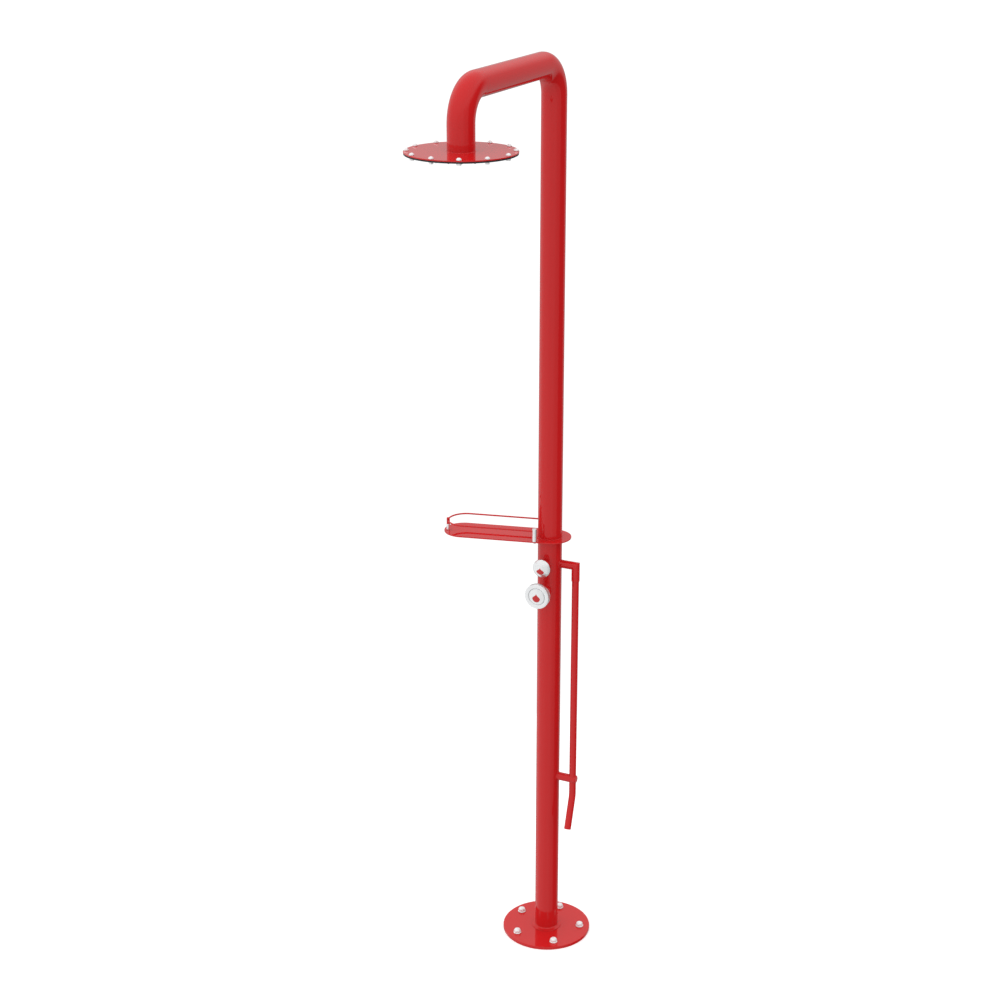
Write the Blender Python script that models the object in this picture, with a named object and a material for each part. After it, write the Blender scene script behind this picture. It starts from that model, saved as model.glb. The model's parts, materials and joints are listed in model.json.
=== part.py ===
"""Floor-standing emergency shower column with a foot wash and a small tray.

Metres, +Z up. The origin is the centre of the base flange's underside, which is also the column's axis.
The overhead arm and the two push buttons point to -Y, the foot wash pipe is on +X, the tray is on -X.
Heights named *_Z are above the floor. A valve's own heights are distances from the column's axis to -Y.
"""

import math

import bmesh
import bpy
from mathutils import Matrix, Vector

GAP = 0.0003  # clearance between pieces that touch
HOLE_CLEARANCE = 0.0005  # extra radius of a hole round its bolt
OVERRUN = 0.010  # how far a cutter runs past what it cuts

# Water column: one size of steel pipe from the base to the shower head
PIPE_R = 0.0306
PIPE_BORE = 0.0269
BRANCH_START = 0.020  # where a branch starts before the column's shape is cut from it
BEND_R = 0.075
ARM_Z = 2.317
ARM_REACH = 0.491
BEND_START_Z = ARM_Z - BEND_R
BEND_STUB = 0.002  # straight end of a bend
PIPE_SIDES = 24
BEND_STEPS = 6

# Base flange and its floor anchors
FLANGE_R = 0.1167
FLANGE_T = 0.008
COLLAR_R = 0.040
ANCHOR_CIRCLE_R = 0.0905
ANCHOR_COUNT = 5
ANCHOR_FIRST_DEG = 90.0
ANCHOR_R = 0.005
ANCHOR_FLANGE_R = 0.0103
ANCHOR_FLANGE_T = 0.002
ANCHOR_FLAT_R = 0.0085
ANCHOR_HEX_H = 0.005
ANCHOR_DOME_H = 0.005
PIPE_END_Z = 0.0005  # anchors and supply riser end just above the floor

# Shower head: a top plate and a nozzle plate bolted together over a gasket
HEAD_R = 0.1236
HEAD_TOP_Z = 2.1860
TOP_PLATE_T = 0.0024
GASKET_T = 0.0012
NOZZLE_PLATE_T = 0.0018
GASKET_BORE = 0.1110
CHAMBER_R = 0.1080
CHAMBER_DEPTH = 0.0010
MAT_R = 0.1095
MAT_T = 0.0009
HEAD_BOLT_CIRCLE_R = 0.117
HEAD_BOLT_COUNT = 12
HEAD_BOLT_FIRST_DEG = -66.0
HEAD_BOLT_R = 0.0022
HEAD_HOLE_R = 0.0029
HEAD_BOLT_CAP_R = 0.0057
HEAD_BOLT_CAP_H = 0.0054
HEAD_NUT_FLAT_R = 0.0046
HEAD_NUT_H = 0.0042
NOZZLE_RINGS = ((0.107, 24), (0.073, 12), (0.038, 6))
NOZZLE_FIRST_DEG = -93.0
NOZZLE_R = 0.0022
NOZZLE_HOLE_R = 0.0028
NOZZLE_TIP_R = 0.0016
NOZZLE_H = 0.0034

# Pipework and valve block inside the column
SUPPLY_Y = 0.013
SUPPLY_R = 0.0075
SUPPLY_BORE = 0.0065
SOCKET_DEPTH = 0.010
BLOCK_HALF_X = 0.0125
BLOCK_FRONT_Y = -0.008
BLOCK_BACK_Y = 0.023
BLOCK_Z = (0.982, 1.092)
FEED_SHIFT_Z = (1.20, 1.50)
GALLERY_R = 0.004
GALLERY_DEPTH = 0.012
NIPPLE_SOCKET_DEPTH = 0.006

# Shower valve: large push button in a fixed bezel
SHOWER_Z = 1.004
SHOWER_PORT_R = 0.0135
SHOWER_BOSS_R = 0.0160
SHOWER_BOSS_END = 0.0677
SHOWER_BODY_R = 0.0130
SHOWER_BORE = 0.0100
SHOWER_BODY_END = 0.0700
BEZEL_R = 0.0327
BEZEL_BACK = 0.0680
BEZEL_FRONT = 0.0820
BEZEL_WEB = 0.0030
BEZEL_OPENING_R = 0.0222
SHOWER_CAP_R = 0.0216
SHOWER_CAP_TOP = 0.0845
SHOWER_CAP_SEAT = 0.0800
SHOWER_CAP_SKIRT = 0.0778

# Foot wash valve: mushroom push button with a sleeve over its boss
FOOT_Z = 1.070
FOOT_PORT_R = 0.0110
FOOT_BOSS_R = 0.0135
FOOT_BOSS_END = 0.0385
FOOT_BODY_R = 0.0105
FOOT_BORE = 0.0080
FOOT_BODY_END = 0.0405
FOOT_CAP_R = 0.0237
FOOT_CAP_TOP = 0.0620
FOOT_CAP_RIM = 0.0520
FOOT_CAP_SEAT = 0.0545
FOOT_SLEEVE = (0.0142, 0.0165)
FOOT_SLEEVE_END = 0.0400

# Both valves
BODY_START = 0.0083
BODY_FLOOR_T = 0.0020
INLET_R = 0.0030
SHOWER_STEM_R = 0.0030
FOOT_STEM_R = 0.0025
PISTON_START = 0.0170
PISTON_L = 0.0064
PISTON_CLEARANCE = 0.0009
GROOVE_DEPTH = 0.0013
GROOVE_AT = (0.0018, 0.0044)  # both edges, measured from the piston's start
SEAL_WIRE_R = 0.0007
GLAND_L = 0.0058
GLAND_CLEARANCE = 0.0004
SPRING_WIRE_R = 0.0006
SPRING_CLEARANCE = 0.0040
SPRING_TURNS = 3.5

# Foot wash pipe beside the column
PIPE_X = 0.0715
ELBOW_R = 0.0104
ELBOW_BORE = 0.0093
ELBOW_END_Z = 1.0300
NIPPLE_R = 0.0065
NIPPLE_BORE = 0.0045
NIPPLE_END_X = 0.052
FOOT_TUBE_R = 0.0090
FOOT_TUBE_BORE = 0.0078
FOOT_TUBE_TOP_Z = 1.055
FOOT_BEND_Z = 0.428
FOOT_BEND_DEG = 19.3
FOOT_BEND_R = 0.050
FOOT_SPOUT_L = 0.083
BRACKET_Z = 0.467
BRACKET_R = 0.0106
BRACKET_PAST_PIPE = 0.0105

# Tray with a guard rail on three posts; its own X runs away from the column
TRAY_DEG = 193.2
TRAY_TOP_Z = 1.140
TRAY_T = 0.0030
TRAY_HALF = 0.050
TRAY_START_X = -0.004  # centres of the plate's two round ends
TRAY_END_X = 0.223
RAIL_Z = 1.1667
RAIL_R = 0.0020
RAIL_HALF = 0.0457
RAIL_END_X = 0.217
RAIL_PAST_POST = 0.0015  # how far each end runs past its post's axis
POST_X = 0.031
POST_R = 0.0060
OUTER_POST_R = 0.0045
OUTER_POST_DEG = 13.0  # how far round the rail's end it stands, from the tray's tip
POST_H = 0.033
POST_SCREW_R = 0.0020
POST_SCREW_TOP_Z = 1.152

FORWARD = (math.pi / 2, 0.0, 0.0)  # a valve's own +Z points to world -Y
RIGHTWARD = (0.0, math.pi / 2, 0.0)  # own +Z points to world +X

MATERIALS = {
    "red_paint": ((0.50, 0.022, 0.024), 0.0, 0.12),
    "chrome": ((0.86, 0.87, 0.88), 1.0, 0.06),
    "stainless": ((0.56, 0.57, 0.58), 1.0, 0.28),
    "brass": ((0.72, 0.50, 0.22), 1.0, 0.30),
    "dark_steel": ((0.060, 0.058, 0.060), 0.6, 0.42),
    "rubber": ((0.020, 0.020, 0.021), 0.0, 0.75),
    "spring_steel": ((0.42, 0.42, 0.43), 1.0, 0.32),
}


def clear_scene():
    for obj in list(bpy.data.objects):
        bpy.data.objects.remove(obj, do_unlink=True)


def material(name, finish):
    colour, metallic, roughness = MATERIALS[finish]
    made = bpy.data.materials.new(name)
    made.use_nodes = True
    shader = made.node_tree.nodes["Principled BSDF"]
    shader.inputs["Base Color"].default_value = (*colour, 1.0)
    shader.inputs["Metallic"].default_value = metallic
    shader.inputs["Roughness"].default_value = roughness
    return made


def lathe(profile, sides):
    """Turn (radius, height) points about Z, listed up the outside; a third value makes a six-sided ring.

    A profile that starts and ends on the axis closes there, any other closes on itself as a ring.
    """
    shape = bmesh.new()
    rings = []
    for point in profile:
        radius, height = point[0], point[1]
        if radius == 0.0:
            rings.append([shape.verts.new((0.0, 0.0, height))])
            continue
        ring = []
        for step in range(sides):
            angle = math.tau * step / sides
            reach = radius
            if len(point) == 3:
                reach /= math.cos((angle + math.pi / 6) % (math.pi / 3) - math.pi / 6)
            ring.append(shape.verts.new((reach * math.cos(angle), reach * math.sin(angle), height)))
        rings.append(ring)
    pairs = list(zip(rings, rings[1:]))
    if profile[0][0] > 0.0:
        pairs.append((rings[-1], rings[0]))
    for low, high in pairs:
        for step in range(sides):
            after = (step + 1) % sides
            corners = [
                low[step % len(low)],
                low[after % len(low)],
                high[after % len(high)],
                high[step % len(high)],
            ]
            unique = list(dict.fromkeys(corners))
            if len(unique) > 2:
                shape.faces.new(unique)
    return shape


def tube(path, outer, inner, sides, plane_normal):
    """Sweep a pipe wall along points that lie in one plane; inner 0 makes a solid rod."""
    shape = bmesh.new()
    across = Vector(plane_normal).normalized()
    points = [Vector(point) for point in path]
    walls = []
    for radius in (outer, inner):
        if radius == 0.0:
            continue
        wall = []
        for index, point in enumerate(points):
            before = (point - points[index - 1]).normalized() if index else None
            after = (points[index + 1] - point).normalized() if index + 1 < len(points) else None
            along = ((before or after) + (after or before)).normalized()
            stretch = 1.0 / along.dot(after or before)
            up = along.cross(across) * stretch
            ring = []
            for step in range(sides):
                angle = math.tau * step / sides
                offset = across * (radius * math.cos(angle)) + up * (radius * math.sin(angle))
                ring.append(shape.verts.new(point + offset))
            wall.append(ring)
        walls.append(wall)
        for low, high in zip(wall, wall[1:]):
            for step in range(sides):
                after = (step + 1) % sides
                shape.faces.new((low[step], low[after], high[after], high[step]))
    for end in (0, -1):
        if len(walls) == 1:
            shape.faces.new(walls[0][end])
            continue
        outside, inside = walls[0][end], walls[1][end]
        for step in range(sides):
            after = (step + 1) % sides
            shape.faces.new((outside[step], outside[after], inside[after], inside[step]))
    return shape


def prism(outline, low, high):
    shape = bmesh.new()
    floor = [shape.verts.new((x, y, low)) for x, y in outline]
    roof = [shape.verts.new((x, y, high)) for x, y in outline]
    shape.faces.new(floor)
    shape.faces.new(roof)
    for index in range(len(outline)):
        after = (index + 1) % len(outline)
        shape.faces.new((floor[index], floor[after], roof[after], roof[index]))
    return shape


def ring_profile(inner, outer, low, high):
    return [(inner, low), (outer, low), (outer, high), (inner, high)]


def rod_profile(radius, low, high):
    return [(0.0, low), (radius, low), (radius, high), (0.0, high)]


def joined(shapes):
    """One shape that holds all of them, as a cutter with several prongs."""
    whole = bmesh.new()
    for shape in shapes:
        mesh = bpy.data.meshes.new("prong")
        shape.to_mesh(mesh)
        shape.free()
        whole.from_mesh(mesh)
        bpy.data.meshes.remove(mesh)
    return whole


def add_node(name, shape, finish, location=(0.0, 0.0, 0.0), rotation=(0.0, 0.0, 0.0)):
    mesh = bpy.data.meshes.new(name)
    bmesh.ops.recalc_face_normals(shape, faces=shape.faces)
    shape.to_mesh(mesh)
    shape.free()
    mesh.shade_smooth()
    mesh.set_sharp_from_angle(angle=math.radians(35))
    obj = bpy.data.objects.new(name, mesh)
    if finish:
        mesh.materials.append(material(name, finish))
    obj.location = location
    obj.rotation_euler = rotation
    bpy.context.scene.collection.objects.link(obj)
    return obj


def combine(obj, operation, name, shape, location, rotation):
    guide = add_node(name, shape, None, location, rotation)
    guide.hide_render = True
    guide.display_type = "WIRE"
    modifier = obj.modifiers.new(name, "BOOLEAN")
    modifier.operation = operation
    modifier.solver = "EXACT"
    modifier.object = guide


def cut(obj, name, shape, location=(0.0, 0.0, 0.0), rotation=(0.0, 0.0, 0.0)):
    combine(obj, "DIFFERENCE", name, shape, location, rotation)


def moved(shape, x, y, z=0.0, turn=0.0):
    shape.transform(Matrix.Translation((x, y, z)) @ Matrix.Rotation(turn, 4, "Z"))
    return shape


def on_circle(make, radius, count, first_deg):
    """One fresh shape from make() at each of count even places on a circle."""
    shapes = []
    for index in range(count):
        angle = math.radians(first_deg) + math.tau * index / count
        shapes.append(moved(make(), radius * math.cos(angle), radius * math.sin(angle), turn=angle))
    return shapes


def arc(centre, radius, start_deg, end_deg, steps):
    """Points (a, b) of an arc in a plane, both ends included."""
    points = []
    for index in range(steps + 1):
        angle = math.radians(start_deg + (end_deg - start_deg) * index / steps)
        points.append((centre[0] + radius * math.cos(angle), centre[1] + radius * math.sin(angle)))
    return points


def column_cutter():
    """A length of the column, taller than any boss that is cut to fit it."""
    return lathe(rod_profile(PIPE_R + GAP, -PIPE_R, PIPE_R), PIPE_SIDES)


def base():
    edge = 0.001
    flange_profile = [
        (0.0, 0.0),
        (FLANGE_R, 0.0),
        (FLANGE_R, FLANGE_T - edge),
        (FLANGE_R - edge, FLANGE_T),
        (0.0, FLANGE_T),
    ]
    flange = add_node("base_flange", lathe(flange_profile, 48), "red_paint")

    def through(radius, sides):
        return lathe(rod_profile(radius, -OVERRUN, FLANGE_T + OVERRUN), sides)

    anchor_circle = (ANCHOR_CIRCLE_R, ANCHOR_COUNT, ANCHOR_FIRST_DEG)
    holes = on_circle(lambda: through(ANCHOR_R + HOLE_CLEARANCE, 8), *anchor_circle)
    holes.append(moved(through(SUPPLY_R + GAP, 12), 0.0, SUPPLY_Y))
    cut(flange, "base_holes", joined(holes))
    inner = PIPE_R + GAP
    low = FLANGE_T + GAP
    collar = [
        (inner, low),
        (COLLAR_R, low),
        (COLLAR_R, low + 0.0012),
        (inner + 0.0025, low + 0.0042),
        (inner, low + 0.0060),
    ]
    add_node("foot_collar", lathe(collar, PIPE_SIDES), "red_paint")


def anchors():
    """Floor anchors, each with its flanged cap nut; the length below the floor is left out."""
    flange_low = FLANGE_T + GAP
    hex_low = flange_low + ANCHOR_FLANGE_T
    hex_top = hex_low + ANCHOR_HEX_H
    dome = []
    for lift in (0.5, 1.0):
        dome.append((ANCHOR_FLAT_R * math.cos(lift), hex_top + ANCHOR_DOME_H * math.sin(lift)))
    profile = [
        (0.0, PIPE_END_Z),
        (ANCHOR_R, PIPE_END_Z),
        (ANCHOR_R, flange_low),
        (ANCHOR_FLANGE_R, flange_low),
        (ANCHOR_FLANGE_R, hex_low),
        (ANCHOR_FLAT_R, hex_low, 1),
        (ANCHOR_FLAT_R, hex_top, 1),
        *dome,
        (0.0, hex_top + ANCHOR_DOME_H),
    ]
    shapes = on_circle(lambda: lathe(profile, 12), ANCHOR_CIRCLE_R, ANCHOR_COUNT, ANCHOR_FIRST_DEG)
    for index, shape in enumerate(shapes):
        add_node(f"anchor_bolt_{index + 1}", shape, "chrome")


def rear_bend():
    return [(0.0, y, z) for y, z in arc((-BEND_R, BEND_START_Z), BEND_R, 0, 90, BEND_STEPS)]


def front_bend():
    return [(0.0, y, z) for y, z in arc((BEND_R - ARM_REACH, BEND_START_Z), BEND_R, 90, 180, BEND_STEPS)]


def column():
    """Column, two bends, arm and drop pipe, each a pipe of the same size."""
    low = FLANGE_T + GAP
    pipe = add_node(
        "column_tube",
        lathe(ring_profile(PIPE_BORE, PIPE_R, low, BEND_START_Z - BEND_STUB - GAP), PIPE_SIDES),
        "red_paint",
    )
    wall_end = PIPE_R + OVERRUN
    wall_start = PIPE_BORE - OVERRUN
    ports = (("shower_port", SHOWER_PORT_R, SHOWER_Z), ("foot_port", FOOT_PORT_R, FOOT_Z))
    for name, radius, height in ports:
        port = lathe(rod_profile(radius, wall_start, wall_end), 24)
        cut(pipe, name, port, (0.0, 0.0, height), FORWARD)
    side = lathe(rod_profile(NIPPLE_R + HOLE_CLEARANCE, wall_start, wall_end), 16)
    cut(pipe, "side_port", side, (0.0, 0.0, FOOT_Z), RIGHTWARD)

    low = BEND_START_Z - BEND_STUB
    near = -BEND_R - BEND_STUB
    far = -ARM_REACH - near
    rear = [(0.0, 0.0, low), *rear_bend(), (0.0, near, ARM_Z)]
    front = [(0.0, far, ARM_Z), *front_bend(), (0.0, -ARM_REACH, low)]
    for name, path in (("rear_elbow", rear), ("front_elbow", front)):
        add_node(name, tube(path, PIPE_R, PIPE_BORE, PIPE_SIDES, (1, 0, 0)), "red_paint")
    arm = lathe(ring_profile(PIPE_BORE, PIPE_R, GAP - near, -far - GAP), PIPE_SIDES)
    add_node("arm_tube", arm, "red_paint", (0.0, 0.0, ARM_Z), FORWARD)
    drop = lathe(ring_profile(PIPE_BORE, PIPE_R, HEAD_TOP_Z + GAP, low - GAP), PIPE_SIDES)
    add_node("drop_pipe", drop, "red_paint", (0.0, -ARM_REACH, 0.0))


def head():
    place = (0.0, -ARM_REACH, 0.0)
    top_low = HEAD_TOP_Z - TOP_PLATE_T
    gasket_top = top_low - GAP
    gasket_low = gasket_top - GASKET_T
    plate_top = gasket_low - GAP
    plate_low = plate_top - NOZZLE_PLATE_T
    edge = 0.0005
    top_profile = [
        (0.0, top_low + CHAMBER_DEPTH),
        (CHAMBER_R, top_low + CHAMBER_DEPTH),
        (CHAMBER_R, top_low),
        (HEAD_R, top_low),
        (HEAD_R, HEAD_TOP_Z - edge),
        (HEAD_R - edge, HEAD_TOP_Z),
        (0.0, HEAD_TOP_Z),
    ]
    plates = (
        ("head_top_plate", top_profile, "red_paint"),
        ("head_gasket", ring_profile(GASKET_BORE, HEAD_R - 0.0006, gasket_low, gasket_top), "rubber"),
        ("head_nozzle_plate", rod_profile(HEAD_R - edge, plate_low, plate_top), "dark_steel"),
    )

    def through(radius, sides):
        return lathe(rod_profile(radius, plate_low - OVERRUN, HEAD_TOP_Z + OVERRUN), sides)

    def nozzle_places(make):
        shapes = []
        for radius, count in NOZZLE_RINGS:
            shapes += on_circle(make, radius, count, NOZZLE_FIRST_DEG)
        return shapes

    bolt_circle = (HEAD_BOLT_CIRCLE_R, HEAD_BOLT_COUNT, HEAD_BOLT_FIRST_DEG)
    for name, profile, finish in plates:
        plate = add_node(name, lathe(profile, 48), finish, place)
        holes = on_circle(lambda: through(HEAD_HOLE_R, 6), *bolt_circle)
        if name == "head_top_plate":
            holes.append(through(SUPPLY_R + GAP, 12))
        if name == "head_nozzle_plate":
            holes += nozzle_places(lambda: through(NOZZLE_HOLE_R, 6))
        cut(plate, name + "_holes", joined(holes), place)

    mat_low = plate_top + GAP
    sheet = lathe(rod_profile(MAT_R, mat_low, mat_low + MAT_T), 36)
    mat = add_node("head_nozzle_mat", sheet, "rubber", place)
    nozzle = [
        (0.0, plate_low - NOZZLE_H),
        (NOZZLE_TIP_R, plate_low - NOZZLE_H),
        (NOZZLE_R, mat_low + MAT_T / 2),
        (0.0, mat_low + MAT_T / 2),
    ]
    nozzles = joined(nozzle_places(lambda: lathe(nozzle, 6)))
    combine(mat, "UNION", "head_nozzles", nozzles, place, (0.0, 0.0, 0.0))

    cap_low = HEAD_TOP_Z + GAP
    nut_top = plate_low - GAP
    nut_low = nut_top - HEAD_NUT_H
    bolt = [
        (0.0, nut_low),
        (HEAD_NUT_FLAT_R, nut_low, 1),
        (HEAD_NUT_FLAT_R, nut_top, 1),
        (HEAD_BOLT_R, nut_top),
        (HEAD_BOLT_R, cap_low),
        (HEAD_BOLT_CAP_R, cap_low),
    ]
    for lift in (0.35, 0.95):
        bolt.append((HEAD_BOLT_CAP_R * math.cos(lift), cap_low + HEAD_BOLT_CAP_H * math.sin(lift)))
    bolt.append((0.0, cap_low + HEAD_BOLT_CAP_H))
    for index, shape in enumerate(on_circle(lambda: lathe(bolt, 12), *bolt_circle)):
        add_node(f"head_bolt_{index + 1:02}", shape, "chrome", place)


def pipework():
    """Supply riser, valve block and the pipe that carries water on to the head."""
    socket_top = BLOCK_Z[0] + SOCKET_DEPTH
    riser = lathe(ring_profile(SUPPLY_BORE, SUPPLY_R, PIPE_END_Z, socket_top - GAP), 16)
    add_node("supply_riser", riser, "stainless", (0.0, SUPPLY_Y, 0.0))

    outline = [
        (-BLOCK_HALF_X, BLOCK_FRONT_Y),
        (BLOCK_HALF_X, BLOCK_FRONT_Y),
        (BLOCK_HALF_X, BLOCK_BACK_Y),
        (-BLOCK_HALF_X, BLOCK_BACK_Y),
    ]
    block = add_node("valve_block", prism(outline, *BLOCK_Z), "brass")
    socket = SUPPLY_R + GAP
    for name, low, high in (
        ("riser_socket", BLOCK_Z[0] - OVERRUN, socket_top),
        ("feed_socket", BLOCK_Z[1] - SOCKET_DEPTH, BLOCK_Z[1] + OVERRUN),
    ):
        cut(block, name, lathe(rod_profile(socket, low, high), 16), (0.0, SUPPLY_Y, 0.0))
    front = -BLOCK_FRONT_Y
    for name, height in (("shower_gallery", SHOWER_Z), ("foot_gallery", FOOT_Z)):
        gallery = lathe(rod_profile(GALLERY_R, front - GALLERY_DEPTH, front + OVERRUN), 12)
        cut(block, name, gallery, (0.0, 0.0, height), FORWARD)
    start = BLOCK_HALF_X - NIPPLE_SOCKET_DEPTH
    nipple_socket = lathe(rod_profile(NIPPLE_R + GAP, start, BLOCK_HALF_X + OVERRUN), 16)
    cut(block, "nipple_socket", nipple_socket, (0.0, 0.0, FOOT_Z), RIGHTWARD)

    feed_start = BLOCK_Z[1] - SOCKET_DEPTH + GAP
    path = [(0.0, SUPPLY_Y, feed_start)]
    low, high = FEED_SHIFT_Z
    for index in range(5):
        share = index / 4
        ease = share * share * (3 - 2 * share)
        path.append((0.0, SUPPLY_Y * (1 - ease), low + (high - low) * share))
    path += [*rear_bend(), *front_bend()]
    path.append((0.0, -ARM_REACH, HEAD_TOP_Z - TOP_PLATE_T + GAP))
    add_node("head_feed_pipe", tube(path, SUPPLY_R, SUPPLY_BORE, 10, (1, 0, 0)), "stainless")


def spring(radius, wire, low, high, turns):
    """Closed coil of round wire about Z between two seats."""
    shape = bmesh.new()
    per_turn, sides = 10, 5
    count = int(turns * per_turn)
    rings = []
    for index in range(count + 1):
        angle = math.tau * index / per_turn
        height = low + wire + (high - low - 2 * wire) * index / count
        ring = []
        for step in range(sides):
            turn = math.tau * step / sides
            reach = radius + wire * math.cos(turn)
            lift = height + wire * math.sin(turn)
            ring.append(shape.verts.new((reach * math.cos(angle), reach * math.sin(angle), lift)))
        rings.append(ring)
    for before, after in zip(rings, rings[1:]):
        for step in range(sides):
            following = (step + 1) % sides
            shape.faces.new((before[step], before[following], after[following], after[step]))
    shape.faces.new(rings[0])
    shape.faces.new(rings[-1])
    return shape


def seal_ring(radius, wire, height):
    profile = [(radius + x, height + y) for x, y in arc((0.0, 0.0), wire, -90, 198, 4)]
    return lathe(profile, 14)


def valve(name, centre_z, port_r, boss_r, boss_end, body_r, bore, body_end, stem_r, cap_seat):
    """Boss, body, gland, piston on its stem, seal and return spring that both valves have."""
    place = (0.0, 0.0, centre_z)

    def add(part, shape, finish):
        return add_node(f"{name}_{part}", shape, finish, place, FORWARD)

    boss = add("boss", lathe(ring_profile(port_r, boss_r, BRANCH_START, boss_end), 20), "red_paint")
    cut(boss, f"{name}_saddle", column_cutter(), place)

    floor = BODY_START + BODY_FLOOR_T
    body = [
        (INLET_R, BODY_START),
        (body_r, BODY_START),
        (body_r, body_end),
        (bore, body_end),
        (bore, floor),
        (INLET_R, floor),
    ]
    add("valve_body", lathe(body, 20), "brass")
    gland_top = body_end - GAP
    gland = ring_profile(stem_r + GLAND_CLEARANCE, bore - GAP, gland_top - GLAND_L, gland_top)
    add("gland", lathe(gland, 16), "brass")

    crown = bore - PISTON_CLEARANCE
    groove = crown - GROOVE_DEPTH
    groove_low, groove_high = (PISTON_START + edge for edge in GROOVE_AT)
    piston_top = PISTON_START + PISTON_L
    piston = [
        (0.0, PISTON_START),
        (crown, PISTON_START),
        (crown, groove_low),
        (groove, groove_low),
        (groove, groove_high),
        (crown, groove_high),
        (crown, piston_top),
        (stem_r, piston_top),
        (stem_r, cap_seat - GAP),
        (0.0, cap_seat - GAP),
    ]
    add("piston_stem", lathe(piston, 16), "stainless")
    seal_z = (groove_low + groove_high) / 2
    add("seal", seal_ring(groove + GAP + SEAL_WIRE_R, SEAL_WIRE_R, seal_z), "rubber")
    coil_r = stem_r + SPRING_CLEARANCE
    coil = spring(coil_r, SPRING_WIRE_R, body_end + GAP, cap_seat - GAP, SPRING_TURNS)
    add("spring", coil, "spring_steel")


def shower_valve():
    valve(
        "shower",
        centre_z=SHOWER_Z,
        port_r=SHOWER_PORT_R,
        boss_r=SHOWER_BOSS_R,
        boss_end=SHOWER_BOSS_END,
        body_r=SHOWER_BODY_R,
        bore=SHOWER_BORE,
        body_end=SHOWER_BODY_END,
        stem_r=SHOWER_STEM_R,
        cap_seat=SHOWER_CAP_SEAT,
    )
    place = (0.0, 0.0, SHOWER_Z)
    web = BEZEL_BACK + BEZEL_WEB
    bezel = [
        (SHOWER_BODY_R + GAP, BEZEL_BACK),
        (BEZEL_R - 0.0030, BEZEL_BACK),
        (BEZEL_R, BEZEL_BACK + 0.0030),
        (BEZEL_R, BEZEL_FRONT - 0.0030),
        (BEZEL_R - 0.0008, BEZEL_FRONT - 0.0010),
        (BEZEL_R - 0.0026, BEZEL_FRONT),
        (BEZEL_OPENING_R + 0.0012, BEZEL_FRONT),
        (BEZEL_OPENING_R, BEZEL_FRONT - 0.0012),
        (BEZEL_OPENING_R, web),
        (SHOWER_BODY_R + GAP, web),
    ]
    add_node("shower_bezel", lathe(bezel, 28), "chrome", place, FORWARD)
    rim = SHOWER_CAP_TOP - 0.0045
    button = [
        (0.0, SHOWER_CAP_SEAT),
        (SHOWER_CAP_R - 0.0040, SHOWER_CAP_SEAT),
        (SHOWER_CAP_R - 0.0020, SHOWER_CAP_SEAT - 0.0015),
        (SHOWER_CAP_R - 0.0020, SHOWER_CAP_SKIRT),
        (SHOWER_CAP_R, SHOWER_CAP_SKIRT),
        (SHOWER_CAP_R, rim),
        (SHOWER_CAP_R - 0.0012, rim + 0.0015),
        (SHOWER_CAP_R * 0.80, rim + 0.0028),
        (SHOWER_CAP_R * 0.45, rim + 0.0040),
        (0.0, SHOWER_CAP_TOP),
    ]
    add_node("shower_button", lathe(button, 28), "chrome", place, FORWARD)


def foot_valve():
    valve(
        "foot",
        centre_z=FOOT_Z,
        port_r=FOOT_PORT_R,
        boss_r=FOOT_BOSS_R,
        boss_end=FOOT_BOSS_END,
        body_r=FOOT_BODY_R,
        bore=FOOT_BORE,
        body_end=FOOT_BODY_END,
        stem_r=FOOT_STEM_R,
        cap_seat=FOOT_CAP_SEAT,
    )
    sleeve_in, sleeve_out = FOOT_SLEEVE
    height = FOOT_CAP_TOP - FOOT_CAP_RIM
    ball_r = (FOOT_CAP_R**2 + height**2) / (2 * height)
    dome = []
    for share in (1.0, 0.80, 0.45):
        radius = FOOT_CAP_R * share
        dome.append((radius, FOOT_CAP_TOP - ball_r + math.sqrt(ball_r**2 - radius**2)))
    button = [
        (0.0, FOOT_CAP_SEAT),
        (sleeve_in - 0.0020, FOOT_CAP_SEAT),
        (sleeve_in, FOOT_CAP_SEAT - 0.0020),
        (sleeve_in, FOOT_SLEEVE_END),
        (sleeve_out, FOOT_SLEEVE_END),
        (sleeve_out, FOOT_CAP_RIM - 0.0015),
        (FOOT_CAP_R - 0.0006, FOOT_CAP_RIM - 0.0015),
        *dome,
        (0.0, FOOT_CAP_TOP),
    ]
    add_node("foot_button", lathe(button, 28), "chrome", (0.0, 0.0, FOOT_Z), FORWARD)


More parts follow.
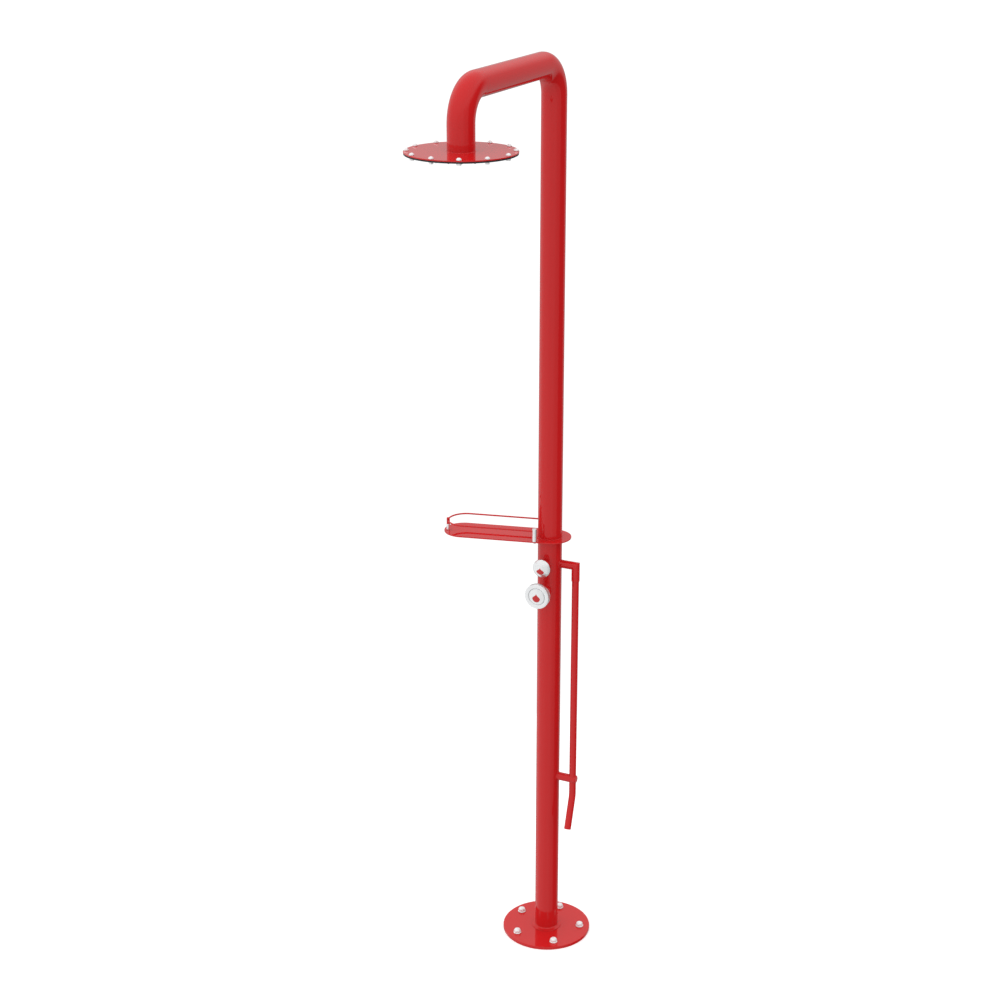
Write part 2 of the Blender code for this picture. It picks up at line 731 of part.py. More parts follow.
def foot_wash():
    """Nipple through the column's wall, mitred elbow, pipe with a bent spout, and its bracket."""
    nipple_start = BLOCK_HALF_X - NIPPLE_SOCKET_DEPTH + 2 * GAP
    nipple = lathe(ring_profile(NIPPLE_BORE, NIPPLE_R, nipple_start, NIPPLE_END_X), 16)
    add_node("foot_nipple", nipple, "brass", (0.0, 0.0, FOOT_Z), RIGHTWARD)

    path = [(BRANCH_START, 0.0, FOOT_Z), (PIPE_X, 0.0, FOOT_Z), (PIPE_X, 0.0, ELBOW_END_Z)]
    elbow = add_node("foot_elbow", tube(path, ELBOW_R, ELBOW_BORE, 20, (0, 1, 0)), "red_paint")
    cut(elbow, "elbow_saddle", column_cutter(), (0.0, 0.0, FOOT_Z))

    bend = [
        (PIPE_X, y, z)
        for y, z in arc((-FOOT_BEND_R, FOOT_BEND_Z), FOOT_BEND_R, 0, -FOOT_BEND_DEG, 4)
    ]
    lean = math.radians(FOOT_BEND_DEG)
    last = Vector(bend[-1])
    spout_end = last + Vector((0.0, -math.sin(lean), -math.cos(lean))) * FOOT_SPOUT_L
    path = [(PIPE_X, 0.0, FOOT_TUBE_TOP_Z), *bend, tuple(spout_end)]
    add_node("foot_tube", tube(path, FOOT_TUBE_R, FOOT_TUBE_BORE, 16, (1, 0, 0)), "red_paint")

    end = PIPE_X + BRACKET_PAST_PIPE
    profile = [
        (0.0, BRANCH_START),
        (BRACKET_R, BRANCH_START),
        (BRACKET_R, end - 0.002),
        (BRACKET_R - 0.0008, end - 0.0006),
        (BRACKET_R - 0.0022, end),
        (0.0, end),
    ]
    bracket = add_node("foot_bracket", lathe(profile, 20), "red_paint", (0.0, 0.0, BRACKET_Z), RIGHTWARD)
    cut(bracket, "bracket_saddle", column_cutter(), (0.0, 0.0, BRACKET_Z))
    eye = lathe(rod_profile(FOOT_TUBE_R + GAP, -0.02, 0.02), 16)
    cut(bracket, "bracket_eye", eye, (PIPE_X, 0.0, BRACKET_Z))


def tray():
    turn = (0.0, 0.0, math.radians(TRAY_DEG))
    outline = arc((TRAY_END_X, 0.0), TRAY_HALF, -90, 90, 12)
    outline += arc((TRAY_START_X, 0.0), TRAY_HALF, 90, 270, 12)
    low = TRAY_TOP_Z - TRAY_T
    plate = add_node("tray_plate", prism(outline, low, TRAY_TOP_Z), "red_paint", rotation=turn)
    outer_turn = math.radians(OUTER_POST_DEG)
    outer_x = RAIL_END_X + RAIL_HALF * math.cos(outer_turn)
    outer = (outer_x, RAIL_HALF * math.sin(outer_turn))
    places = ((POST_X, -RAIL_HALF), (POST_X, RAIL_HALF), outer)
    screw_hole = POST_SCREW_R + GAP

    def through(radius, sides):
        return lathe(rod_profile(radius, low - OVERRUN, TRAY_TOP_Z + OVERRUN), sides)

    holes = [moved(through(screw_hole, 8), x, y) for x, y in places]
    holes.append(through(PIPE_R + GAP, PIPE_SIDES))
    cut(plate, "tray_holes", joined(holes), rotation=turn)

    rail_start = POST_X - RAIL_PAST_POST
    rail = [(rail_start, -RAIL_HALF, RAIL_Z)]
    rail += [(x, y, RAIL_Z) for x, y in arc((RAIL_END_X, 0.0), RAIL_HALF, -90, 90, 14)]
    rail.append((rail_start, RAIL_HALF, RAIL_Z))
    add_node("tray_rail", tube(rail, RAIL_R, 0.0, 6, (0, 0, 1)), "red_paint", rotation=turn)

    post_low = TRAY_TOP_Z + GAP
    post_top = post_low + POST_H

    def post(radius):
        profile = [
            (0.0, POST_SCREW_TOP_Z + GAP),
            (screw_hole, POST_SCREW_TOP_Z + GAP),
            (screw_hole, post_low),
            (radius, post_low),
            (radius, post_top - 0.0010),
            (radius - 0.0010, post_top),
            (0.0, post_top),
        ]
        return lathe(profile, 14)

    end_hole = rod_profile(RAIL_R + GAP, -RAIL_PAST_POST - 0.001, POST_R + OVERRUN)
    curve_hole = rod_profile(RAIL_R + HOLE_CLEARANCE + GAP, -POST_R - OVERRUN, POST_R + OVERRUN)
    screw_top = low - GAP
    screw = [
        (0.0, screw_top - 0.0022),
        (0.0030, screw_top - 0.0022),
        (0.0036, screw_top - 0.0012),
        (0.0036, screw_top),
        (POST_SCREW_R, screw_top),
        (POST_SCREW_R, POST_SCREW_TOP_Z),
        (0.0, POST_SCREW_TOP_Z),
    ]
    for name, (x, y) in zip(("far", "near", "outer"), places):
        radius = OUTER_POST_R if name == "outer" else POST_R
        made = add_node(f"tray_post_{name}", moved(post(radius), x, y), "chrome", rotation=turn)
        if name == "outer":
            hole = lathe(curve_hole, 8)
            aim = Matrix.Rotation(outer_turn, 4, "Z") @ Matrix.Rotation(math.pi / 2, 4, "X")
        else:
            hole = lathe(end_hole, 8)
            aim = Matrix.Rotation(math.pi / 2, 4, "Y")
        hole.transform(Matrix.Translation((x, y, RAIL_Z)) @ aim)
        cut(made, f"rail_hole_{name}", hole, rotation=turn)
        add_node(f"tray_screw_{name}", moved(lathe(screw, 8), x, y), "stainless", rotation=turn)


def main():
    clear_scene()
    base()
    anchors()
    column()
    head()
    pipework()
    shower_valve()
    foot_valve()
    foot_wash()
    tray()


main()
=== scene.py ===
"""Looks of the floor-standing emergency shower column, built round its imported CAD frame.

Metres, +Z up, in the frame's own axes: the arm and the push buttons point to -Y, the foot wash pipe
is on +X and the tray lies towards -X. Faceted CAD pieces are replaced by smooth ones of the same size.
"""

import json
import math

import bmesh
import bpy
from mathutils import Matrix, Vector


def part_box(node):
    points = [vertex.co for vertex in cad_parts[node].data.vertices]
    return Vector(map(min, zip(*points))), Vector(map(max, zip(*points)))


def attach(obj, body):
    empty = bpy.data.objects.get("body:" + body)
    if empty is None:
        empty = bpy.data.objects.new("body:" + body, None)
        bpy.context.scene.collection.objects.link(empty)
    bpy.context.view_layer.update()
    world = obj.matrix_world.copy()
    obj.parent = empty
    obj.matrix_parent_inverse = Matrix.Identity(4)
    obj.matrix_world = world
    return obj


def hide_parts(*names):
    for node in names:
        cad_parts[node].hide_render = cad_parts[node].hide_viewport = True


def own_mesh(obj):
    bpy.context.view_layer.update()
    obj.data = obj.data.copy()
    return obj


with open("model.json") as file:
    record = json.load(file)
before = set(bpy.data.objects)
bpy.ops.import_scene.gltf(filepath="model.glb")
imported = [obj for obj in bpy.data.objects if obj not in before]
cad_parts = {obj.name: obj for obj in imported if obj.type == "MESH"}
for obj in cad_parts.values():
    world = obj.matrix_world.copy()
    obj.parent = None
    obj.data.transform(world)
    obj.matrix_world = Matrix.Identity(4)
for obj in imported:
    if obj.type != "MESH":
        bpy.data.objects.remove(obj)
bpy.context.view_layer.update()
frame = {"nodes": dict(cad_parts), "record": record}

BODY = "column"
SHOWER_BODY = "shower_push_button"
FOOT_BODY = "foot_push_button"


def node_size(node):
    low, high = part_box(node)
    return high - low


def node_centre(node):
    low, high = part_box(node)
    return (low + high) / 2


# Sizes that the frame gives
PIPE_R = node_size("column_tube").x / 2
ARM_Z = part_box("rear_elbow")[1].z - PIPE_R
ARM_REACH = -node_centre("drop_pipe").y
FLANGE_R = node_size("base_flange").x / 2
FLANGE_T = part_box("base_flange")[1].z
HEAD_R = node_size("head_top_plate").x / 2
HEAD_LOW_Z, HEAD_TOP_Z = (corner.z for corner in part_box("head_top_plate"))
PLATE_LOW_Z, PLATE_TOP_Z = (corner.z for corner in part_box("head_nozzle_plate"))
SHOWER_Z = node_centre("shower_button").z
FOOT_Z = node_centre("foot_button").z
TRAY_LOW_Z, TRAY_TOP_Z = (corner.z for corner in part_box("tray_plate"))
RAIL_Z = node_centre("tray_rail").z
FOOT_PIPE_X = node_centre("foot_tube").x
FOOT_TUBE_R = node_size("foot_tube").x / 2

# Sizes that the CAD source gives
PIPE_BORE = 0.0269
BEND_R = 0.075
GAP = 0.0003  # between two pieces that meet
SEAM = GAP / 2  # half the gap between two pipes that are welded end to end
SUPPLY_R = 0.0075
SUPPLY_Y = 0.013
ANCHOR_CIRCLE = (0.0905, 5, 90.0)  # radius, count, first angle
ANCHOR_HOLE_R = 0.0055
HEAD_BOLT_CIRCLE = (0.117, 12, -66.0)
HEAD_HOLE_R = 0.0026
NOZZLE_RINGS = ((0.107, 24), (0.073, 12), (0.038, 6))  # radius, count
NOZZLE_FIRST_DEG = -93.0
NOZZLE_HOLE_R = 0.0027
SHOWER_NECK_R = 0.0160
SHOWER_PORT_R = 0.0135
FOOT_NECK_R = 0.0135
FOOT_PORT_R = 0.0110
SPOUT_BEND_Z = 0.428
SPOUT_BEND_R = 0.050
SPOUT_LEAN_DEG = 19.3
SPOUT_L = 0.083
TRAY_DEG = 193.2
TRAY_HALF = 0.050
TRAY_START_X = -0.004
TRAY_END_X = 0.223
RAIL_R = 0.0020
RAIL_HALF = 0.0457
RAIL_END_X = 0.217
POST_X = 0.031
POST_R = 0.0060
OUTER_POST_R = 0.0045
OUTER_POST_DEG = 13.0  # how far round the rail's end it stands, from the tray's tip
POST_SCREW_R = 0.0020

ROUND = 128  # facets round a large circle
SMALL_ROUND = 40
OVERRUN = 0.01  # how far a cutter reaches past what it cuts
ON_AXIS = 1e-9  # a lathe profile's radius below this is a point on the axis

VIEW_DEG = 25.1755  # the camera's heading, from +Y towards -X
RIGHT = Vector((math.cos(math.radians(VIEW_DEG)), math.sin(math.radians(VIEW_DEG)), 0.0))
BACK = Vector((-RIGHT.y, RIGHT.x, 0.0))
CAMERA_PLACE = (1.804, -4.135, 2.875)
CAMERA_TILT_DEG = 70.033
LENS_MM = 68.84
SENSOR_MM = 36.0

# Brightness of the studio's surroundings, white being 1
AMBIENT = 0.84
TOP_GLOW = 1.0
FRONT_GLOW = 0.82
LEFT_GLOW = 0.95
RIGHT_GLOW = 0.50
DARK_STRIP_GLOW = 0.05
BACK_LOW_GLOW, BACK_HIGH_GLOW = 0.30, 0.56
BACKDROP = 1.1


# ---------------------------------------------------------------- materials


class Nodes:
    """Short calls for building one material's nodes."""

    def __init__(self, name):
        self.material = bpy.data.materials.new(name)
        self.material.use_nodes = True
        self.tree = self.material.node_tree
        self.shader = self.tree.nodes["Principled BSDF"]
        self.coordinates = self.add("ShaderNodeTexCoord").outputs["Object"]

    def add(self, kind, **settings):
        node = self.tree.nodes.new(kind)
        for key, value in settings.items():
            setattr(node, key, value)
        return node

    def link(self, source, target):
        self.tree.links.new(source, target)

    def noise(self, scale, detail=3.0, roughness=0.5, stretch=(1.0, 1.0, 1.0)):
        mapping = self.add("ShaderNodeMapping")
        mapping.inputs["Scale"].default_value = stretch
        self.link(self.coordinates, mapping.inputs["Vector"])
        noise = self.add("ShaderNodeTexNoise")
        noise.inputs["Scale"].default_value = scale
        noise.inputs["Detail"].default_value = detail
        noise.inputs["Roughness"].default_value = roughness
        self.link(mapping.outputs["Vector"], noise.inputs["Vector"])
        return noise.outputs["Fac"]

    def remap(self, source, low, high, to_low=0.0, to_high=1.0):
        node = self.add("ShaderNodeMapRange", interpolation_type="SMOOTHSTEP")
        for key, value in (("From Min", low), ("From Max", high), ("To Min", to_low), ("To Max", to_high)):
            node.inputs[key].default_value = value
        self.link(source, node.inputs["Value"])
        return node.outputs["Result"]

    def mix(self, share, first, second):
        """Colour mix; first and second are colours or sockets."""
        node = self.add("ShaderNodeMix", data_type="RGBA")
        self.link(share, node.inputs["Factor"])
        for socket, value in ((node.inputs["A"], first), (node.inputs["B"], second)):
            self.feed(value, socket)
        return node.outputs["Result"]

    def feed(self, value, socket):
        if isinstance(value, tuple):
            socket.default_value = (*value, 1.0)
        else:
            self.link(value, socket)

    def maths(self, operation, first, second):
        node = self.add("ShaderNodeMath", operation=operation)
        for index, value in enumerate((first, second)):
            if isinstance(value, (int, float)):
                node.inputs[index].default_value = value
            else:
                self.link(value, node.inputs[index])
        return node.outputs["Value"]

    def edges(self, reach=0.0008):
        """1 within reach of a sharp edge, 0 elsewhere: there a rounded normal differs from the true one."""
        bevel = self.add("ShaderNodeBevel", samples=4)
        bevel.inputs["Radius"].default_value = reach
        dot = self.add("ShaderNodeVectorMath", operation="DOT_PRODUCT")
        self.link(bevel.outputs["Normal"], dot.inputs[0])
        self.link(self.add("ShaderNodeNewGeometry").outputs["Normal"], dot.inputs[1])
        return self.remap(dot.outputs["Value"], 0.97, 0.80)

    def height(self):
        split = self.add("ShaderNodeSeparateXYZ")
        self.link(self.coordinates, split.inputs["Vector"])
        return split.outputs["Z"]

    def bump(self, source, distance):
        node = self.add("ShaderNodeBump")
        node.inputs["Distance"].default_value = distance
        self.link(source, node.inputs["Height"])
        self.link(node.outputs["Normal"], self.shader.inputs["Normal"])

    def set(self, **values):
        for key, value in values.items():
            self.shader.inputs[key.replace("_", " ")].default_value = value

    def colour(self, socket):
        self.link(socket, self.shader.inputs["Base Color"])

    def roughness(self, socket):
        self.link(socket, self.shader.inputs["Roughness"])


def red_paint():
    """Gloss red powder coat: faint flow marks, orange peel, and scuffs on its edges and near the floor."""
    nodes = Nodes("red_powder_coat")
    nodes.set(IOR=1.40)
    tone = nodes.mix(nodes.noise(2.5, detail=2.0), (0.585, 0.0115, 0.0130), (0.615, 0.0130, 0.0145))
    scuff = nodes.maths("MULTIPLY", nodes.edges(), nodes.remap(nodes.noise(160.0), 0.42, 0.62))
    tone = nodes.mix(nodes.maths("MULTIPLY", scuff, 0.30), tone, (0.66, 0.060, 0.055))
    nodes.colour(tone)
    splash = nodes.remap(nodes.height(), 0.0, 0.18, 1.0, 0.0)
    splash = nodes.maths("MULTIPLY", splash, nodes.remap(nodes.noise(48.0, detail=6.0), 0.52, 0.74))
    gloss = nodes.remap(nodes.noise(9.0, detail=4.0), 0.30, 0.75, 0.030, 0.050)
    gloss = nodes.maths("ADD", gloss, nodes.maths("MULTIPLY", scuff, 0.16))
    nodes.roughness(nodes.maths("ADD", gloss, nodes.maths("MULTIPLY", splash, 0.08)))
    nodes.bump(nodes.noise(380.0, detail=2.0), 0.000003)
    return nodes.material


def chrome():
    """Satin chrome plate with faint water marks, handling smears and fine swirls."""
    nodes = Nodes("satin_chrome")
    nodes.set(Metallic=0.85)
    smear = nodes.remap(nodes.noise(70.0, detail=5.0, roughness=0.6), 0.50, 0.72)
    nodes.colour(nodes.mix(smear, (0.865, 0.875, 0.885), (0.820, 0.830, 0.840)))
    gloss = nodes.remap(nodes.noise(190.0, detail=4.0), 0.35, 0.70, 0.20, 0.28)
    gloss = nodes.maths("ADD", gloss, nodes.maths("MULTIPLY", nodes.edges(0.0004), 0.06))
    nodes.roughness(nodes.maths("ADD", gloss, nodes.maths("MULTIPLY", smear, 0.06)))
    nodes.bump(nodes.noise(900.0, detail=2.0, stretch=(1.0, 1.0, 6.0)), 0.000003)
    return nodes.material


def satin_nickel():
    """Pale blasted nickel of the dome nuts and bolts, a little duller in patches."""
    nodes = Nodes("satin_nickel")
    nodes.set(Metallic=0.35)
    patch = nodes.remap(nodes.noise(240.0, detail=4.0), 0.40, 0.65)
    nodes.colour(nodes.mix(patch, (0.930, 0.930, 0.935), (0.870, 0.870, 0.880)))
    gloss = nodes.remap(nodes.noise(500.0, detail=3.0), 0.30, 0.70, 0.36, 0.46)
    nodes.roughness(nodes.maths("SUBTRACT", gloss, nodes.maths("MULTIPLY", nodes.edges(0.0004), 0.08)))
    nodes.bump(nodes.noise(2500.0, detail=1.0), 0.000004)
    return nodes.material


def stainless():
    """Drawn stainless steel, with lines along its length and a mild stain."""
    nodes = Nodes("drawn_stainless")
    nodes.set(Metallic=1.0)
    stain = nodes.remap(nodes.noise(45.0, detail=6.0), 0.48, 0.75)
    nodes.colour(nodes.mix(stain, (0.62, 0.625, 0.63), (0.50, 0.49, 0.475)))
    lines = nodes.noise(1400.0, detail=3.0, stretch=(1.0, 1.0, 0.03))
    nodes.roughness(nodes.remap(lines, 0.3, 0.7, 0.20, 0.38))
    nodes.bump(lines, 0.000008)
    return nodes.material


def brass():
    """Machined brass with turning rings and brown tarnish."""
    nodes = Nodes("machined_brass")
    nodes.set(Metallic=1.0)
    tarnish = nodes.remap(nodes.noise(60.0, detail=6.0, roughness=0.6), 0.45, 0.75)
    nodes.colour(nodes.mix(tarnish, (0.76, 0.54, 0.25), (0.45, 0.28, 0.12)))
    rings = nodes.noise(2200.0, detail=2.0, stretch=(0.1, 1.0, 0.1))
    nodes.roughness(nodes.remap(rings, 0.3, 0.7, 0.24, 0.42))
    nodes.bump(rings, 0.000010)
    return nodes.material


def spring_wire():
    """Oil-tempered spring wire."""
    nodes = Nodes("spring_wire")
    nodes.set(Metallic=1.0)
    nodes.colour(nodes.mix(nodes.noise(240.0), (0.46, 0.46, 0.47), (0.33, 0.32, 0.31)))
    nodes.roughness(nodes.remap(nodes.noise(800.0), 0.3, 0.7, 0.24, 0.44))
    nodes.bump(nodes.noise(2600.0), 0.000006)
    return nodes.material


def dark_steel():
    """Satin dark coating with lime specks round the nozzles."""
    nodes = Nodes("satin_dark_steel")
    nodes.set(Metallic=0.5)
    lime = nodes.remap(nodes.noise(130.0, detail=7.0, roughness=0.65), 0.60, 0.80, 0.0, 0.5)
    nodes.colour(nodes.mix(lime, (0.050, 0.046, 0.050), (0.17, 0.165, 0.16)))
    nodes.roughness(nodes.remap(nodes.noise(90.0, detail=4.0), 0.3, 0.7, 0.32, 0.52))
    nodes.bump(nodes.noise(1500.0, detail=3.0), 0.000020)
    return nodes.material


def rubber():
    """Matte black rubber with a dusty bloom."""
    nodes = Nodes("black_rubber")
    bloom = nodes.remap(nodes.noise(110.0, detail=6.0), 0.48, 0.78)
    nodes.colour(nodes.mix(bloom, (0.018, 0.018, 0.019), (0.060, 0.058, 0.056)))
    nodes.roughness(nodes.remap(nodes.noise(300.0), 0.3, 0.7, 0.62, 0.85))
    nodes.bump(nodes.noise(1800.0, detail=4.0), 0.000030)
    return nodes.material


def red_enamel():
    """Filled enamel of the drop marks on the buttons."""
    nodes = Nodes("red_enamel")
    nodes.colour(nodes.mix(nodes.noise(350.0, detail=4.0), (0.52, 0.010, 0.013), (0.61, 0.016, 0.019)))
    nodes.roughness(nodes.remap(nodes.noise(600.0), 0.3, 0.7, 0.10, 0.22))
    nodes.bump(nodes.noise(1200.0), 0.000008)
    return nodes.material


FINISHES = {
    "red_paint": red_paint(),
    "chrome": chrome(),
    "satin_nickel": satin_nickel(),
    "stainless": stainless(),
    "brass": brass(),
    "spring_steel": spring_wire(),
    "dark_steel": dark_steel(),
    "rubber": rubber(),
    "enamel": red_enamel(),
}


# ---------------------------------------------------------------- shapes


def filleted(corners, steps=5):
    """Outline points from (a, b) or (a, b, radius) corners; a corner with a radius becomes an arc."""
    points = []
    for index, corner in enumerate(corners):
        here = Vector(corner[:2])
        if len(corner) < 3:
            points.append(tuple(here))
            continue
        back = (Vector(corners[index - 1][:2]) - here).normalized()
        ahead = (Vector(corners[(index + 1) % len(corners)][:2]) - here).normalized()
        half = back.angle(ahead) / 2
        centre = here + (back + ahead).normalized() * (corner[2] / math.sin(half))
        reach = corner[2] / math.tan(half)
        first = here + back * reach - centre
        last = here + ahead * reach - centre
        sweep = first.angle(last)
        for step in range(steps + 1):
            share = step / steps
            blend = first * math.sin((1 - share) * sweep) + last * math.sin(share * sweep)
            points.append(tuple(centre + blend / math.sin(sweep)))
    return points


def spaced(start, end, steps):
    return [start + (end - start) * index / steps for index in range(steps + 1)]


def arc(centre, radius, start_deg, end_deg, steps):
    points = []
    for degrees in spaced(start_deg, end_deg, steps):
        angle = math.radians(degrees)
        points.append((centre[0] + radius * math.cos(angle), centre[1] + radius * math.sin(angle)))
    return points


def six_sided(angle, flat):
    return flat / math.cos((angle + math.pi / 6) % (math.pi / 3) - math.pi / 6)


def lathe(profile, sides=ROUND):
    """Turn (radius, height) points about Z; a third value is a hexagon's half width over flats there."""
    shape = bmesh.new()
    rings = []
    for point in profile:
        if point[0] < ON_AXIS:
            rings.append([shape.verts.new((0.0, 0.0, point[1]))])
            continue
        ring = []
        for step in range(sides):
            angle = math.tau * step / sides
            reach = point[0]
            if len(point) == 3:
                reach = min(reach, six_sided(angle, point[2]))
            ring.append(shape.verts.new((reach * math.cos(angle), reach * math.sin(angle), point[1])))
        rings.append(ring)
    pairs = list(zip(rings, rings[1:]))
    if profile[0][0] >= ON_AXIS:
        pairs.append((rings[-1], rings[0]))
    for low, high in pairs:
        for step in range(sides):
            after = (step + 1) % sides
            corners = [
                low[step % len(low)],
                low[after % len(low)],
                high[after % len(high)],
                high[step % len(high)],
            ]
            unique = list(dict.fromkeys(corners))
            if len(unique) > 2:
                shape.faces.new(unique)
    return shape


def pipe(path, outer, inner, plane_normal, sides=ROUND // 2):
    """Sweep a pipe wall along a path in one plane, mitred at its corners; inner 0 makes a rod."""
    shape = bmesh.new()
    across = Vector(plane_normal).normalized()
    points = [Vector(point) for point in path]
    walls = []
    for radius in (outer, inner):
        if radius == 0.0:
            continue
        wall = []
        for index, point in enumerate(points):
            before = (point - points[index - 1]).normalized() if index else None
            after = (points[index + 1] - point).normalized() if index + 1 < len(points) else None
            along = ((before or after) + (after or before)).normalized()
            up = along.cross(across) / along.dot(after or before)
            ring = []
            for step in range(sides):
                angle = math.tau * step / sides
                offset = across * (radius * math.cos(angle)) + up * (radius * math.sin(angle))
                ring.append(shape.verts.new(point + offset))
            wall.append(ring)
        walls.append(wall)
        for low, high in zip(wall, wall[1:]):
            for step in range(sides):
                after = (step + 1) % sides
                shape.faces.new((low[step], low[after], high[after], high[step]))
    for end in (0, -1):
        if len(walls) == 1:
            shape.faces.new(walls[0][end])
            continue
        outside, inside = walls[0][end], walls[1][end]
        for step in range(sides):
            after = (step + 1) % sides
            shape.faces.new((outside[step], outside[after], inside[after], inside[step]))
    return shape


def bead(points, normals, radius, sides=12):
    """A closed round bead along a loop of points; the normals keep it from twisting."""
    shape = bmesh.new()
    rings = []
    for index, point in enumerate(points):
        along = (points[(index + 1) % len(points)] - points[index - 1]).normalized()
        side = along.cross(normals[index]).normalized()
        up = side.cross(along)
        ring = []
        for step in range(sides):
            angle = math.tau * step / sides
            ring.append(shape.verts.new(point + (side * math.cos(angle) + up * math.sin(angle)) * radius))
        rings.append(ring)
    for index, ring in enumerate(rings):
        following = rings[(index + 1) % len(rings)]
        for step in range(sides):
            after = (step + 1) % sides
            shape.faces.new((ring[step], ring[after], following[after], following[step]))
    return shape


def prism(outline, low, high):
    shape = bmesh.new()
    floor = [shape.verts.new((x, y, low)) for x, y in outline]
    roof = [shape.verts.new((x, y, high)) for x, y in outline]
    shape.faces.new(floor)
    shape.faces.new(roof)
    for index in range(len(outline)):
        after = (index + 1) % len(outline)
        shape.faces.new((floor[index], floor[after], roof[after], roof[index]))
    return shape


def ring_profile(inner, outer, low, high):
    return [(inner, low), (outer, low), (outer, high), (inner, high)]


def rod_profile(radius, low, high):
    return [(0.0, low), (radius, low), (radius, high), (0.0, high)]


def joined(shapes):
    whole = bmesh.new()
    for shape in shapes:
        mesh = bpy.data.meshes.new("part_of_whole")
        shape.to_mesh(mesh)
        shape.free()
        whole.from_mesh(mesh)
        bpy.data.meshes.remove(mesh)
    return whole


def moved(shape, matrix):
    shape.transform(matrix)
    return shape


def at(x, y, z=0.0, turn=0.0):
    return Matrix.Translation((x, y, z)) @ Matrix.Rotation(turn, 4, "Z")


def circle_places(radius, count, first_deg):
    """A matrix for each of count even places on a circle, turned to face outwards."""
    places = []
    for index in range(count):
        angle = math.radians(first_deg) + math.tau * index / count
        places.append(at(radius * math.cos(angle), radius * math.sin(angle), turn=angle))
    return places


def forward(height):
    """Own +Z points to -Y, at that height on the column's axis."""
    return Matrix.Translation((0.0, 0.0, height)) @ Matrix.Rotation(math.pi / 2, 4, "X")


def rightward(height):
    """Own +Z points to +X, at that height on the column's axis."""
    return Matrix.Translation((0.0, 0.0, height)) @ Matrix.Rotation(math.pi / 2, 4, "Y")


def plain_object(name, shape):
    mesh = bpy.data.meshes.new(name)
    bmesh.ops.recalc_face_normals(shape, faces=shape.faces)
    shape.to_mesh(mesh)
    shape.free()
    obj = bpy.data.objects.new(name, mesh)
    bpy.context.scene.collection.objects.link(obj)
    return obj


def cut_away(obj, cutter_shape):
    """Cut the shape out of the object's mesh for good."""
    cutter = plain_object(obj.name + "_cutter", cutter_shape)
    modifier = obj.modifiers.new("cut", "BOOLEAN")
    modifier.solver = "EXACT"
    modifier.operation = "DIFFERENCE"
    modifier.object = cutter
    graph = bpy.context.evaluated_depsgraph_get()
    result = bpy.data.meshes.new_from_object(obj.evaluated_get(graph))
    obj.modifiers.clear()
    before = obj.data
    obj.data = result
    result.name = obj.name
    bpy.data.meshes.remove(before)
    bpy.data.objects.remove(cutter)


def piece(name, shape, finish, body=BODY, replaces=(), cutter=None, edge=0.0, sharp=35.0):
    """A finished visual piece: shape, optional cut, softened edges, material and body."""
    obj = plain_object(name, shape)
    if cutter is not None:
        cut_away(obj, cutter)
    obj.data.materials.clear()
    obj.data.materials.append(FINISHES[finish])
    obj.data.shade_smooth()
    obj.data.set_sharp_from_angle(angle=math.radians(sharp))
    if edge:
        bevel = obj.modifiers.new("soft_edges", "BEVEL")
        bevel.width = edge
        bevel.segments = 2
        bevel.limit_method = "ANGLE"
        bevel.angle_limit = math.radians(40)
        bevel.harden_normals = True
    obj.modifiers.new("flat_faces_stay_flat", "WEIGHTED_NORMAL").keep_sharp = True
    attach(obj, body)
    if replaces:
        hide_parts(*replaces)
    return obj


# ---------------------------------------------------------------- base


def base():
    top_edge = 0.0012
    disc = filleted([(0.0, 0.0), (FLANGE_R, 0.0, 0.0004), (FLANGE_R, FLANGE_T, top_edge), (0.0, FLANGE_T)])

    def hole(radius, place):
        return moved(lathe(rod_profile(radius, -OVERRUN, FLANGE_T + OVERRUN), SMALL_ROUND), place)

    holes = [hole(ANCHOR_HOLE_R, place) for place in circle_places(*ANCHOR_CIRCLE)]
    holes.append(hole(SUPPLY_R + GAP, at(0.0, SUPPLY_Y)))
    piece("base_disc", lathe(disc), "red_paint", replaces=["base_flange"], cutter=joined(holes))

    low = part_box("foot_collar")[0].z
    reach = node_size("foot_collar").x / 2
    skirt = filleted(
        [
            (PIPE_R, low),
            (reach, low, 0.0003),
            (reach - 0.0005, low + 0.0009, 0.0006),
            (PIPE_R + 0.0024, low + 0.0024, 0.0020),
            (PIPE_R, low + 0.0048),
        ]
    )
    piece("base_weld_collar", lathe(skirt), "red_paint", replaces=["foot_collar"])


def anchor_nuts():
    """Flanged dome nuts on their anchors."""
    low, high = (corner.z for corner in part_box("anchor_bolt_1"))
    flange_r = 0.0103
    flange_low = FLANGE_T + GAP
    hex_low = flange_low + 0.0020
    hex_top = hex_low + 0.0050
    flat = 0.0085
    dome_r = 0.0084
    dome_h = high - hex_top
    lifts = spaced(0.0, math.pi / 2, 8)
    dome = [(dome_r * math.cos(lift), hex_top + dome_h * math.sin(lift)) for lift in lifts]
    profile = [
        (0.0, low),
        (0.0047, low),
        (0.0050, low + 0.0005),
        (0.0050, flange_low),
        (flange_r - 0.0004, flange_low),
        (flange_r, flange_low + 0.0004),
        (flange_r, flange_low + 0.0010),
        (flange_r - 0.0004, flange_low + 0.0014),
        (0.0094, hex_low, flat),
        (0.0098, hex_low + 0.0006, flat),
        (0.0098, hex_top - 0.0012, flat),
        (0.0092, hex_top - 0.0004, flat),
        (0.0086, hex_top, flat),
        *dome,
    ]
    for index, place in enumerate(circle_places(*ANCHOR_CIRCLE)):
        name = f"anchor_bolt_{index + 1}"
        shape = moved(lathe(profile, 72), place)
        piece(f"dome_nut_{index + 1}", shape, "satin_nickel", replaces=[name], sharp=30.0)


# ---------------------------------------------------------------- water column


